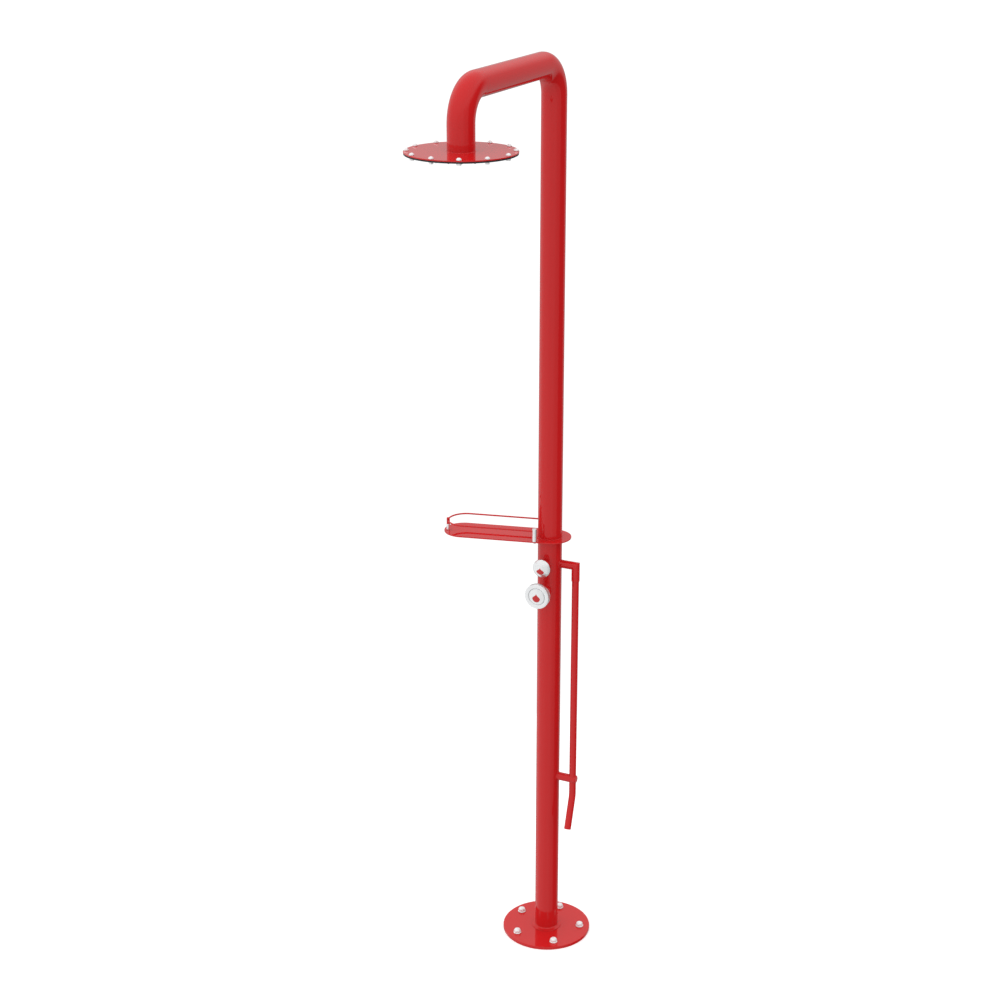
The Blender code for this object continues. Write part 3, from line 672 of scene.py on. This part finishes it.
def water_column():
    """Column, bends, arm and drop pipe, with ground welds where they meet."""
    rear_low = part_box("rear_elbow")[0]
    stub = -rear_low.y - BEND_R
    seam_low = rear_low.z
    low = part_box("column_tube")[0].z
    high = seam_low - SEAM
    ports = []
    rings = [low]
    nipple_r = node_size("foot_nipple").y / 2 + 0.0005
    for radius, matrix in (
        (SHOWER_PORT_R, forward(SHOWER_Z)),
        (FOOT_PORT_R, forward(FOOT_Z)),
        (nipple_r, rightward(FOOT_Z)),
    ):
        ports.append(moved(lathe(rod_profile(radius, PIPE_BORE - 0.002, PIPE_R + 0.002), 64), matrix))
    for height, port_r in ((SHOWER_Z, SHOWER_PORT_R), (FOOT_Z, FOOT_PORT_R)):
        half = port_r + 0.0015
        rings += [height - half, height + half]
    profile = [(PIPE_BORE, low), *((PIPE_R, z) for z in (*rings, high)), (PIPE_BORE, high)]
    piece("column_pipe", lathe(profile), "red_paint", replaces=["column_tube"], cutter=joined(ports))

    bend_z = ARM_Z - BEND_R
    rear = [(0.0, 0.0, seam_low + SEAM)]
    rear += [(0.0, y, z) for y, z in arc((-BEND_R, bend_z), BEND_R, 0, 90, 40)]
    rear.append((0.0, -BEND_R - stub + SEAM, ARM_Z))
    front = [(0.0, BEND_R + stub - ARM_REACH - SEAM, ARM_Z)]
    front += [(0.0, y, z) for y, z in arc((BEND_R - ARM_REACH, bend_z), BEND_R, 90, 180, 40)]
    front.append((0.0, -ARM_REACH, seam_low + SEAM))
    normal = (1, 0, 0)
    for side, path in (("rear", rear), ("front", front)):
        bend = pipe(path, PIPE_R, PIPE_BORE, normal, ROUND)
        piece(f"{side}_bend_pipe", bend, "red_paint", replaces=[f"{side}_elbow"])

    start, end = BEND_R + stub, ARM_REACH - BEND_R - stub
    arm = lathe(ring_profile(PIPE_BORE, PIPE_R, start + SEAM, end - SEAM))
    piece("arm_pipe", moved(arm, forward(ARM_Z)), "red_paint", replaces=["arm_tube"])
    drop = lathe(ring_profile(PIPE_BORE, PIPE_R, HEAD_TOP_Z + SEAM, seam_low - SEAM))
    piece("drop_pipe_skin", moved(drop, at(0.0, -ARM_REACH)), "red_paint", replaces=["drop_pipe"])

    rise = 0.00012
    reach = 0.0040
    weld = []
    for share in spaced(0.0, 1.0, 12):
        weld.append((PIPE_R + rise * math.sin(math.pi * share) ** 2, reach * (2 * share - 1)))
    weld += [(PIPE_R - 0.0004, reach), (PIPE_R - 0.0004, -reach)]
    for name, matrix in (
        ("rear_low", at(0.0, 0.0, seam_low)),
        ("rear_top", forward(ARM_Z) @ at(0.0, 0.0, start)),
        ("front_top", forward(ARM_Z) @ at(0.0, 0.0, end)),
        ("front_low", at(0.0, -ARM_REACH, seam_low)),
    ):
        piece(f"ground_weld_{name}", moved(lathe(weld), matrix), "red_paint")


# ---------------------------------------------------------------- shower head


def head():
    place = at(0.0, -ARM_REACH)
    bolt_places = circle_places(*HEAD_BOLT_CIRCLE)
    nozzle_places = []
    for radius, count in NOZZLE_RINGS:
        nozzle_places += circle_places(radius, count, NOZZLE_FIRST_DEG)

    def holes(radius, places):
        profile = rod_profile(radius, PLATE_LOW_Z - OVERRUN, HEAD_TOP_Z + OVERRUN)
        return [moved(lathe(profile, 24), spot) for spot in places]

    pocket_r, pocket_z = 0.108, HEAD_LOW_Z + 0.0010
    top = filleted(
        [
            (0.0, pocket_z),
            (pocket_r, pocket_z),
            (pocket_r, HEAD_LOW_Z),
            (HEAD_R, HEAD_LOW_Z, 0.0003),
            (HEAD_R, HEAD_TOP_Z, 0.0006),
            (0.0, HEAD_TOP_Z),
        ]
    )
    centre_hole = rod_profile(SUPPLY_R + GAP, HEAD_LOW_Z - OVERRUN, HEAD_TOP_Z + OVERRUN)
    cutter = joined([*holes(HEAD_HOLE_R, bolt_places), lathe(centre_hole, SMALL_ROUND)])
    disc = moved(lathe(top, 160), place)
    piece("head_disc", disc, "red_paint", replaces=["head_top_plate"], cutter=moved(cutter, place))

    low, high = (corner.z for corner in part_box("head_gasket"))
    inner, outer, edge = 0.111, HEAD_R - 0.0006, 0.0003
    gasket = filleted([(inner, low), (outer, low, edge), (outer, high, edge), (inner, high)])
    cutter = joined(holes(HEAD_HOLE_R, bolt_places))
    ring = moved(lathe(gasket, 160), place)
    piece("head_gasket_ring", ring, "rubber", replaces=["head_gasket"], cutter=moved(cutter, place))

    reach = HEAD_R - 0.0005
    plate = filleted(
        [(0.0, PLATE_LOW_Z), (reach, PLATE_LOW_Z, edge), (reach, PLATE_TOP_Z, edge), (0.0, PLATE_TOP_Z)]
    )
    cutter = joined([*holes(HEAD_HOLE_R, bolt_places), *holes(NOZZLE_HOLE_R, nozzle_places)])
    disc = moved(lathe(plate, 160), place)
    piece("nozzle_disc", disc, "dark_steel", replaces=["head_nozzle_plate"], cutter=moved(cutter, place))

    mat_r, mat_low, mat_high = 0.1095, PLATE_TOP_Z + GAP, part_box("head_nozzle_mat")[1].z
    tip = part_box("head_nozzle_mat")[0].z
    sheet = lathe(filleted([(0.0, mat_low), (mat_r, mat_low, 0.0002), (mat_r, mat_high), (0.0, mat_high)]))
    nozzle = [
        (0.0, tip + 0.0022),
        (0.0006, tip + 0.0022),
        (0.0006, tip + 0.0002),
        (0.0008, tip),
        (0.0013, tip),
        (0.0016, tip + 0.0003),
        (0.0019, tip + 0.0016),
        (0.0022, tip + 0.0030),
        (0.0022, mat_low + 0.0004),
        (0.0, mat_low + 0.0004),
    ]
    nubs = [moved(lathe(nozzle, 20), spot) for spot in nozzle_places]
    piece("nozzle_mat", moved(joined([sheet, *nubs]), place), "rubber", replaces=["head_nozzle_mat"])

    cap_low = HEAD_TOP_Z + GAP
    cap_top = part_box("head_bolt_01")[1].z
    nut_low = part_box("head_bolt_01")[0].z
    nut_top = PLATE_LOW_Z - GAP
    cap_r, cap_h = 0.0057, cap_top - cap_low
    rim_lift = 0.25  # the dome starts at this angle above level
    dome = []
    for lift in spaced(rim_lift, math.pi / 2, 8):
        dome.append((cap_r * math.cos(lift) / math.cos(rim_lift), cap_low + cap_h * math.sin(lift)))
    bolt = [
        (0.0, nut_low),
        (0.0017, nut_low),
        (0.0021, nut_low + 0.0004),
        (0.0046, nut_low + 0.0001, 0.0046),
        (0.0053, nut_low + 0.0008, 0.0046),
        (0.0053, nut_top - 0.0004, 0.0046),
        (0.0048, nut_top, 0.0046),
        (0.0022, nut_top),
        (0.0022, cap_low),
        (cap_r - 0.0002, cap_low),
        *dome,
    ]
    for index, spot in enumerate(bolt_places):
        name = f"head_bolt_{index + 1:02}"
        shape = moved(lathe(bolt, 48), place @ spot)
        piece(f"dome_bolt_{index + 1:02}", shape, "satin_nickel", replaces=[name], sharp=32.0)

    joint = []
    for angle in spaced(0.0, math.pi, 8):
        joint.append((PIPE_R + 0.0008 + 0.0012 * math.cos(angle), HEAD_TOP_Z + 0.0010 * math.sin(angle)))
    joint.append((PIPE_R - 0.0006, HEAD_TOP_Z + 0.0002))
    piece("head_weld", moved(lathe(joint), place), "red_paint")


# ---------------------------------------------------------------- valves and buttons


def saddle_start(reach, across):
    """How far from the column's axis its surface lies, that far across."""
    return math.sqrt(reach**2 - across**2)


def branch(outer, inner, end, matrix):
    """A pipe stub that starts on the column's surface; its own Z points away from the column."""
    profile = filleted([(inner, 0.0), (outer, 0.0), (outer, end, 0.0006), (inner, end)], 3)
    shape = lathe(profile, 64)
    for vertex in shape.verts:
        if vertex.co.z < 1e-9:
            vertex.co.z = saddle_start(PIPE_R, vertex.co.x)
    return moved(shape, matrix)


def saddle_weld(name, radius, matrix, size=0.0013):
    """Bead where a branch meets the column. The branch's own X lies across the column."""
    points, normals = [], []
    for step in range(72):
        angle = math.tau * step / 72
        x, y = radius * math.cos(angle), radius * math.sin(angle)
        z = saddle_start(PIPE_R, x)
        points.append(matrix @ Vector((x, y, z)))
        normals.append(matrix.to_3x3() @ Vector((x, 0.0, z)).normalized())
    piece(name, bead(points, normals, size), "red_paint")


def coil(radius, wire, low, high, turns):
    """Open coil of round wire about Z, evenly pitched, with a flat face at each end of the wire."""
    per_turn, sides = 36, 12
    count = int(turns * per_turn)
    shape = bmesh.new()
    rings = []
    for index in range(count + 1):
        angle = math.tau * index / per_turn
        share = index / count
        height = low + wire + (high - low - 2 * wire) * share
        ring = []
        for step in range(sides):
            turn = math.tau * step / sides
            reach = radius + wire * math.cos(turn)
            lift = height + wire * math.sin(turn)
            ring.append(shape.verts.new((reach * math.cos(angle), reach * math.sin(angle), lift)))
        rings.append(ring)
    for before, after in zip(rings, rings[1:]):
        for step in range(sides):
            following = (step + 1) % sides
            shape.faces.new((before[step], before[following], after[following], after[step]))
    shape.faces.new(rings[0])
    shape.faces.new(rings[-1])
    return shape


def return_spring(valve, height):
    """The coil behind a push button. It stands on the valve body."""
    low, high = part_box(f"{valve}_spring")
    start, end = -high.y, -low.y
    wire = 0.0006
    radius = (high.z - low.z) / 2 - wire
    shape = moved(coil(radius, wire, start, end, 3.5), forward(height))
    obj = piece(f"{valve}_return_coil", shape, "spring_steel", replaces=[f"{valve}_spring"])
    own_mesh(obj)


def dome_height(top, ball_r, reach):
    """Height of a spherical cap at that distance from its axis."""
    return top - ball_r + math.sqrt(ball_r**2 - reach**2)


def dome_outline(top, ball_r, edge_r, steps):
    """Points of a spherical cap from its edge to its axis."""
    reaches = [edge_r * (1 - share) for share in spaced(0.0, 1.0, steps)]
    return [(reach, dome_height(top, ball_r, reach)) for reach in reaches]


def drop_outline(width, tall):
    """Water drop, point up, centred on its widest height: a half ellipse below, hollow flanks above."""
    low = tall * 0.40
    points = [Vector((width / 2 * math.cos(t), low * math.sin(t))) for t in spaced(math.pi, math.tau, 36)]
    flank = []
    for share in spaced(0.0, 1.0, 24):
        flank.append(Vector((width / 2 * math.cos(math.pi / 2 * share) ** 2.9, (tall - low) * share)))
    points += flank[1:]
    points += [Vector((-point.x, point.y)) for point in reversed(flank[1:-1])]
    return points


def drop_mark(height, top, ball_r, width, tall, lower):
    """Water-drop mark laid on a domed button face and standing 0.12 mm proud."""
    proud = 0.00012
    sunk = 0.00015
    outline = drop_outline(width, tall)
    shape = bmesh.new()
    layers = []
    steps = [(share, proud) for share in (0.0, 0.35, 0.7, 0.94)]
    steps += [(1.0, proud / 2), (1.0, -sunk)]
    for share, offset in steps:
        ring = []
        for point in outline if share else [Vector((0.0, 0.0))]:
            x, z = point.x * share, point.y * share - lower
            depth = dome_height(top, ball_r, math.hypot(x, z)) + offset
            ring.append(shape.verts.new((x, -depth, height + z)))
        layers.append(ring)
    for inner, outer in zip(layers, layers[1:]):
        for index in range(len(outline)):
            after = (index + 1) % len(outline)
            corners = [inner[index % len(inner)], outer[index], outer[after], inner[after % len(inner)]]
            shape.faces.new(list(dict.fromkeys(corners)))
    shape.faces.new(layers[-1])
    return shape


def shower_valve():
    matrix = forward(SHOWER_Z)
    boss_end = -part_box("shower_boss")[0].y
    neck = branch(SHOWER_NECK_R, SHOWER_PORT_R, boss_end, matrix)
    piece("shower_neck", neck, "red_paint", replaces=["shower_boss"])
    saddle_weld("shower_neck_weld", SHOWER_NECK_R, matrix)

    front, back = (-corner.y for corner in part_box("shower_bezel"))
    outer = node_size("shower_bezel").x / 2
    inner = 0.0133
    opening = node_size("shower_button").x / 2 + GAP
    web = back + 0.0030
    bezel = filleted(
        [
            (inner, back),
            (outer - 0.0010, back, 0.0008),
            (outer, back + 0.0040, 0.0030),
            (outer, front - 0.0016, 0.0015),
            (outer - 0.0034, front, 0.0022),
            (opening + 0.0015, front, 0.0010),
            (opening, front - 0.0012, 0.0006),
            (opening, web, 0.0006),
            (inner, web),
        ],
        6,
    )
    piece("shower_rosette", moved(lathe(bezel), matrix), "chrome", replaces=["shower_bezel"])

    top = -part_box("shower_button")[0].y
    skirt = -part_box("shower_button")[1].y
    cap_r = node_size("shower_button").x / 2
    ball_r = 0.088
    wall = 0.0020
    seat = skirt + 0.0022
    dome = dome_outline(top, ball_r, cap_r - 0.0030, 10)
    rim = dome[0][1]
    cap = [
        (0.0, seat),
        (cap_r - 2 * wall, seat),
        (cap_r - wall, seat - 0.0015),
        (cap_r - wall, skirt),
        (cap_r - 0.0003, skirt),
        (cap_r, skirt + 0.0003),
        (cap_r, rim - 0.0026),
        (cap_r - 0.0001, rim - 0.0019),
        (cap_r - 0.0006, rim - 0.0010),
        (cap_r - 0.0014, rim - 0.0004),
        (cap_r - 0.0022, rim - 0.0001),
        *dome,
    ]
    piece("shower_cap", moved(lathe(cap), matrix), "chrome", body=SHOWER_BODY, replaces=["shower_button"])
    mark = drop_mark(SHOWER_Z, top, ball_r, width=0.0208, tall=0.0245, lower=0.0041)
    piece("shower_drop_mark", mark, "enamel", body=SHOWER_BODY)
    return_spring("shower", SHOWER_Z)


def foot_valve():
    matrix = forward(FOOT_Z)
    boss_end = -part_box("foot_boss")[0].y
    neck = branch(FOOT_NECK_R, FOOT_PORT_R, boss_end, matrix)
    piece("foot_neck", neck, "red_paint", replaces=["foot_boss"])
    saddle_weld("foot_neck_weld", FOOT_NECK_R, matrix)

    top = -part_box("foot_button")[0].y
    sleeve_end = -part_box("foot_button")[1].y
    cap_r = node_size("foot_button").x / 2
    rim = 0.0520
    height = top - rim
    ball_r = (cap_r**2 + height**2) / (2 * height)
    dome = dome_outline(top, ball_r, cap_r - 0.0010, 12)
    sleeve_in, sleeve_out = 0.0142, 0.0165
    cap = [
        (0.0, rim + 0.0025),
        (sleeve_in - 0.0020, rim + 0.0025),
        (sleeve_in, rim + 0.0005),
        (sleeve_in, sleeve_end),
        (sleeve_out - 0.0003, sleeve_end),
        (sleeve_out, sleeve_end + 0.0003),
        (sleeve_out, rim - 0.0022),
        (sleeve_out + 0.0006, rim - 0.0016),
        (cap_r - 0.0012, rim - 0.0014),
        (cap_r - 0.0003, rim - 0.0010),
        (cap_r, rim - 0.0003),
        (cap_r - 0.0002, rim + 0.0003),
        *dome,
    ]
    piece("foot_cap", moved(lathe(cap), matrix), "chrome", body=FOOT_BODY, replaces=["foot_button"])
    mark = drop_mark(FOOT_Z, top, ball_r, width=0.0205, tall=0.0200, lower=0.0058)
    piece("foot_drop_mark", mark, "enamel", body=FOOT_BODY)
    return_spring("foot", FOOT_Z)


# ---------------------------------------------------------------- foot wash


def foot_wash():
    elbow_r = node_size("foot_elbow").y / 2
    elbow_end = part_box("foot_elbow")[0].z
    path = [(0.02, 0.0, FOOT_Z), (FOOT_PIPE_X, 0.0, FOOT_Z), (FOOT_PIPE_X, 0.0, elbow_end)]
    elbow_wall = 0.0015
    shape = pipe(path, elbow_r, elbow_r - elbow_wall, (0, 1, 0), 72)
    column = moved(lathe(rod_profile(PIPE_R, -PIPE_R, PIPE_R)), at(0.0, 0.0, FOOT_Z))
    piece("foot_branch", shape, "red_paint", replaces=["foot_elbow"], cutter=column, edge=0.0004)
    side = rightward(FOOT_Z) @ Matrix.Rotation(math.pi / 2, 4, "Z")
    saddle_weld("foot_branch_weld", elbow_r, side)

    pipe_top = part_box("foot_tube")[1].z
    bend = arc((-SPOUT_BEND_R, SPOUT_BEND_Z), SPOUT_BEND_R, 0, -SPOUT_LEAN_DEG, 16)
    bend = [(FOOT_PIPE_X, y, z) for y, z in bend]
    lean = math.radians(SPOUT_LEAN_DEG)
    end = Vector(bend[-1]) + Vector((0.0, -math.sin(lean), -math.cos(lean))) * SPOUT_L
    path = [(FOOT_PIPE_X, 0.0, pipe_top), *bend, tuple(end)]
    tube_wall = 0.0012
    shape = pipe(path, FOOT_TUBE_R, FOOT_TUBE_R - tube_wall, (1, 0, 0), 72)
    piece("foot_pipe", shape, "red_paint", replaces=["foot_tube"], edge=0.0003)

    low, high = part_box("foot_bracket")
    bar_r = (high.z - low.z) / 2
    bar_z = (high.z + low.z) / 2
    bar = filleted([(0.0, 0.02), (bar_r, 0.02), (bar_r, high.x, 0.0022), (0.0, high.x)], 6)
    eye = lathe(rod_profile(FOOT_TUBE_R + 0.0001, -0.02, 0.02), 72)
    column = lathe(rod_profile(PIPE_R, -0.02, 0.02))
    cutter = moved(joined([moved(eye, at(FOOT_PIPE_X, 0.0)), column]), at(0.0, 0.0, bar_z))
    shape = moved(lathe(bar, 72), rightward(bar_z))
    piece("foot_pipe_holder", shape, "red_paint", replaces=["foot_bracket"], cutter=cutter)
    side = rightward(bar_z) @ Matrix.Rotation(math.pi / 2, 4, "Z")
    saddle_weld("foot_pipe_holder_weld", bar_r, side, 0.0011)


# ---------------------------------------------------------------- tray


def tray():
    turn = Matrix.Rotation(math.radians(TRAY_DEG), 4, "Z")
    outline = arc((TRAY_END_X, 0.0), TRAY_HALF, -90, 90, 64)
    outline += arc((TRAY_START_X, 0.0), TRAY_HALF, 90, 270, 64)
    outer_turn = math.radians(OUTER_POST_DEG)
    outer = (RAIL_END_X + RAIL_HALF * math.cos(outer_turn), RAIL_HALF * math.sin(outer_turn))
    places = {"far": (POST_X, -RAIL_HALF), "near": (POST_X, RAIL_HALF), "outer": outer}
    span = (TRAY_LOW_Z - OVERRUN, TRAY_TOP_Z + OVERRUN)
    screw_hole = rod_profile(POST_SCREW_R + 0.0002, *span)
    cutters = [moved(lathe(screw_hole, 24), at(x, y)) for x, y in places.values()]
    cutters.append(lathe(rod_profile(PIPE_R + 0.0001, *span)))
    cutter = moved(joined(cutters), turn)
    sheet = moved(prism(outline, TRAY_LOW_Z, TRAY_TOP_Z), turn)
    piece("tray_sheet", sheet, "red_paint", replaces=["tray_plate"], cutter=cutter, edge=0.0004)
    for name, z in (("top", TRAY_TOP_Z), ("low", TRAY_LOW_Z)):
        ring = lathe([(PIPE_R + x, z + y) for x, y in arc((0.0004, 0.0), 0.0009, 0, 345, 23)])
        piece(f"tray_weld_{name}", ring, "red_paint")

    start = POST_X - 0.0015
    rail = [(start, -RAIL_HALF, RAIL_Z)]
    rail += [(x, y, RAIL_Z) for x, y in arc((RAIL_END_X, 0.0), RAIL_HALF, -90, 90, 72)]
    rail.append((start, RAIL_HALF, RAIL_Z))
    rod = moved(pipe(rail, RAIL_R, 0.0, (0, 0, 1), 24), turn)
    piece("tray_rail_rod", rod, "red_paint", replaces=["tray_rail"])

    low, high = (corner.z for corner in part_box("tray_post_near"))

    def rounded_rod(radius, bottom, top, low_edge, top_edge):
        foot = (radius, bottom, low_edge) if low_edge else (radius, bottom)
        return lathe(filleted([(0.0, bottom), foot, (radius, top, top_edge), (0.0, top)]), 64)

    joint_z = low + 0.0165
    screw_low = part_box("tray_screw_near")[0].z
    screw_head = TRAY_LOW_Z - 0.0002
    screw = [
        (0.0, screw_low + 0.0012),
        (0.0016, screw_low + 0.0012, 0.0013),
        (0.0018, screw_low, 0.0015),
        (0.0026, screw_low),
        (0.0034, screw_low + 0.0006),
        (0.0036, screw_low + 0.0012),
        (0.0036, screw_head),
        (POST_SCREW_R, screw_head),
        (POST_SCREW_R, low + 0.0100),
        (0.0, low + 0.0100),
    ]
    for name, (x, y) in places.items():
        place = turn @ at(x, y)
        node = f"tray_post_{name}"
        if name == "outer":
            across = turn @ at(x, y, RAIL_Z, outer_turn) @ Matrix.Rotation(math.pi / 2, 4, "X")
            hole = moved(lathe(rod_profile(RAIL_R + 0.0004, -0.02, 0.02), 32), across)
            post = rounded_rod(OUTER_POST_R, low, joint_z, 0.0004, 0.0004)
            piece("rail_post_outer", moved(post, place), "chrome", replaces=[node])
            stub = rounded_rod(OUTER_POST_R - 0.0004, joint_z + 0.0001, high, 0.0, 0.0012)
            piece("rail_stub_outer", moved(stub, place), "red_paint", replaces=[node], cutter=hole)
        else:
            across = turn @ at(x, y, RAIL_Z) @ Matrix.Rotation(math.pi / 2, 4, "Y")
            hole = moved(lathe(rod_profile(RAIL_R + 0.0001, -0.0025, 0.02), 32), across)
            post = rounded_rod(POST_R, low, high, 0.0004, 0.0010)
            piece(f"rail_post_{name}", moved(post, place), "chrome", replaces=[node], cutter=hole)
        shape = moved(lathe(screw, 36), place)
        piece(f"post_screw_{name}", shape, "stainless", replaces=[f"tray_screw_{name}"], sharp=30.0)


# ---------------------------------------------------------------- inner pieces


def inner_pieces():
    """CAD pieces that stay as they are take a worked finish."""
    slots = {row["node"]: row["material_slot"] for row in frame["record"]["subparts"]}
    for name, obj in frame["nodes"].items():
        if obj.hide_render:
            continue
        obj.data.materials.clear()
        obj.data.materials.append(FINISHES[slots[name]])


# ---------------------------------------------------------------- studio


def studio_floor():
    shape = bmesh.new()
    bmesh.ops.create_circle(shape, cap_ends=True, radius=1.3, segments=128)
    floor = plain_object("studio_floor", shape)
    floor.location.z = -0.0002
    nodes = Nodes("pale_floor")
    nodes.colour(nodes.mix(nodes.noise(1.5), (0.90, 0.90, 0.90), (0.92, 0.92, 0.92)))
    nodes.set(Roughness=0.9, Emission_Color=(1.0, 1.0, 1.0, 1.0), Emission_Strength=0.25)
    floor.data.materials.append(nodes.material)
    for ray in ("glossy", "diffuse", "shadow"):
        setattr(floor, f"visible_{ray}", False)


def studio_world():
    """White background. The light on the object is even, a little stronger from above and from the left.

    What shows in the object's gloss is a pale room: brightest overhead and on the left, greyer behind,
    and dark in one narrow strip on the right.
    """
    world = bpy.data.worlds.new("studio")
    bpy.context.scene.world = world
    world.use_nodes = True
    tree = world.node_tree

    def add(kind, **settings):
        node = tree.nodes.new(kind)
        for key, value in settings.items():
            setattr(node, key, value)
        return node

    def connect(value, socket):
        if isinstance(value, bpy.types.NodeSocket):
            tree.links.new(value, socket)
        else:
            socket.default_value = value

    def ramp(source, low, high, to_low, to_high, kind="SMOOTHSTEP"):
        node = add("ShaderNodeMapRange", interpolation_type=kind)
        names = ("Value", "From Min", "From Max", "To Min", "To Max")
        for name, value in zip(names, (source, low, high, to_low, to_high)):
            connect(value, node.inputs[name])
        return node.outputs["Result"]

    def vector(operation, first, second=None):
        node = add("ShaderNodeVectorMath", operation=operation)
        connect(first, node.inputs[0])
        if second is not None:
            connect(second, node.inputs[1])
        return node.outputs["Value" if operation == "DOT_PRODUCT" else "Vector"]

    def mixed(share, first, second):
        node = add("ShaderNodeMix")
        for name, value in zip(("Factor", "A", "B"), (share, first, second)):
            connect(value, node.inputs[name])
        return node.outputs["Result"]

    direction = add("ShaderNodeTexCoord").outputs["Generated"]
    heading = vector("NORMALIZE", vector("MULTIPLY", direction, (1.0, 1.0, 0.0)))
    to_right = vector("DOT_PRODUCT", heading, RIGHT)
    to_back = vector("DOT_PRODUCT", heading, BACK)
    up = vector("DOT_PRODUCT", direction, (0.0, 0.0, 1.0))

    behind = ramp(up, -0.35, 0.12, BACK_LOW_GLOW, BACK_HIGH_GLOW)
    walls = ramp(to_back, 0.0, 0.7, FRONT_GLOW, behind)
    walls = ramp(to_right, 0.1, 0.75, walls, RIGHT_GLOW)
    walls = ramp(to_right, 0.80, 0.94, walls, DARK_STRIP_GLOW)
    walls = ramp(to_right, -0.85, -0.30, LEFT_GLOW, walls)
    room = ramp(up, 0.25, 0.58, walls, TOP_GLOW)

    even = vector("DOT_PRODUCT", direction, Vector((0.0, 0.0, 0.35)) - RIGHT * 0.14)
    even = ramp(even, -1.0, 1.0, AMBIENT - 1.0, AMBIENT + 1.0, "LINEAR")

    rays = add("ShaderNodeLightPath").outputs
    strength = mixed(rays["Is Glossy Ray"], even, room)
    strength = mixed(rays["Is Camera Ray"], strength, BACKDROP)
    tree.links.new(strength, tree.nodes["Background"].inputs["Strength"])
    tree.nodes["Background"].inputs["Color"].default_value = (1.0, 1.0, 1.0, 1.0)


def soft_light(name, place, size, radiance, target=(0.0, 0.0, 1.2)):
    """Round soft box of that diameter, as bright as a surface of that radiance."""
    data = bpy.data.lights.new(name, "AREA")
    data.shape = "DISK"
    data.size = size
    data.energy = radiance * math.pi * math.pi * (size / 2) ** 2
    light = bpy.data.objects.new(name, data)
    light.visible_glossy = False
    light.location = place
    light.rotation_euler = (Vector(target) - Vector(place)).to_track_quat("-Z", "Y").to_euler()
    bpy.context.scene.collection.objects.link(light)


def camera():
    data = bpy.data.cameras.new("view")
    data.sensor_width = SENSOR_MM
    data.lens = LENS_MM
    view = bpy.data.objects.new("view", data)
    view.location = CAMERA_PLACE
    view.rotation_euler = (math.radians(CAMERA_TILT_DEG), 0.0, math.radians(VIEW_DEG))
    bpy.context.scene.collection.objects.link(view)
    bpy.context.scene.camera = view


def studio():
    bpy.context.scene.view_settings.view_transform = "Standard"
    studio_floor()
    studio_world()
    soft_light("top_light", (0.0, -0.3, 6.0), 5.0, 0.30)
    camera()


studio()
base()
anchor_nuts()
water_column()
head()
shower_valve()
foot_valve()
foot_wash()
tray()
inner_pieces()
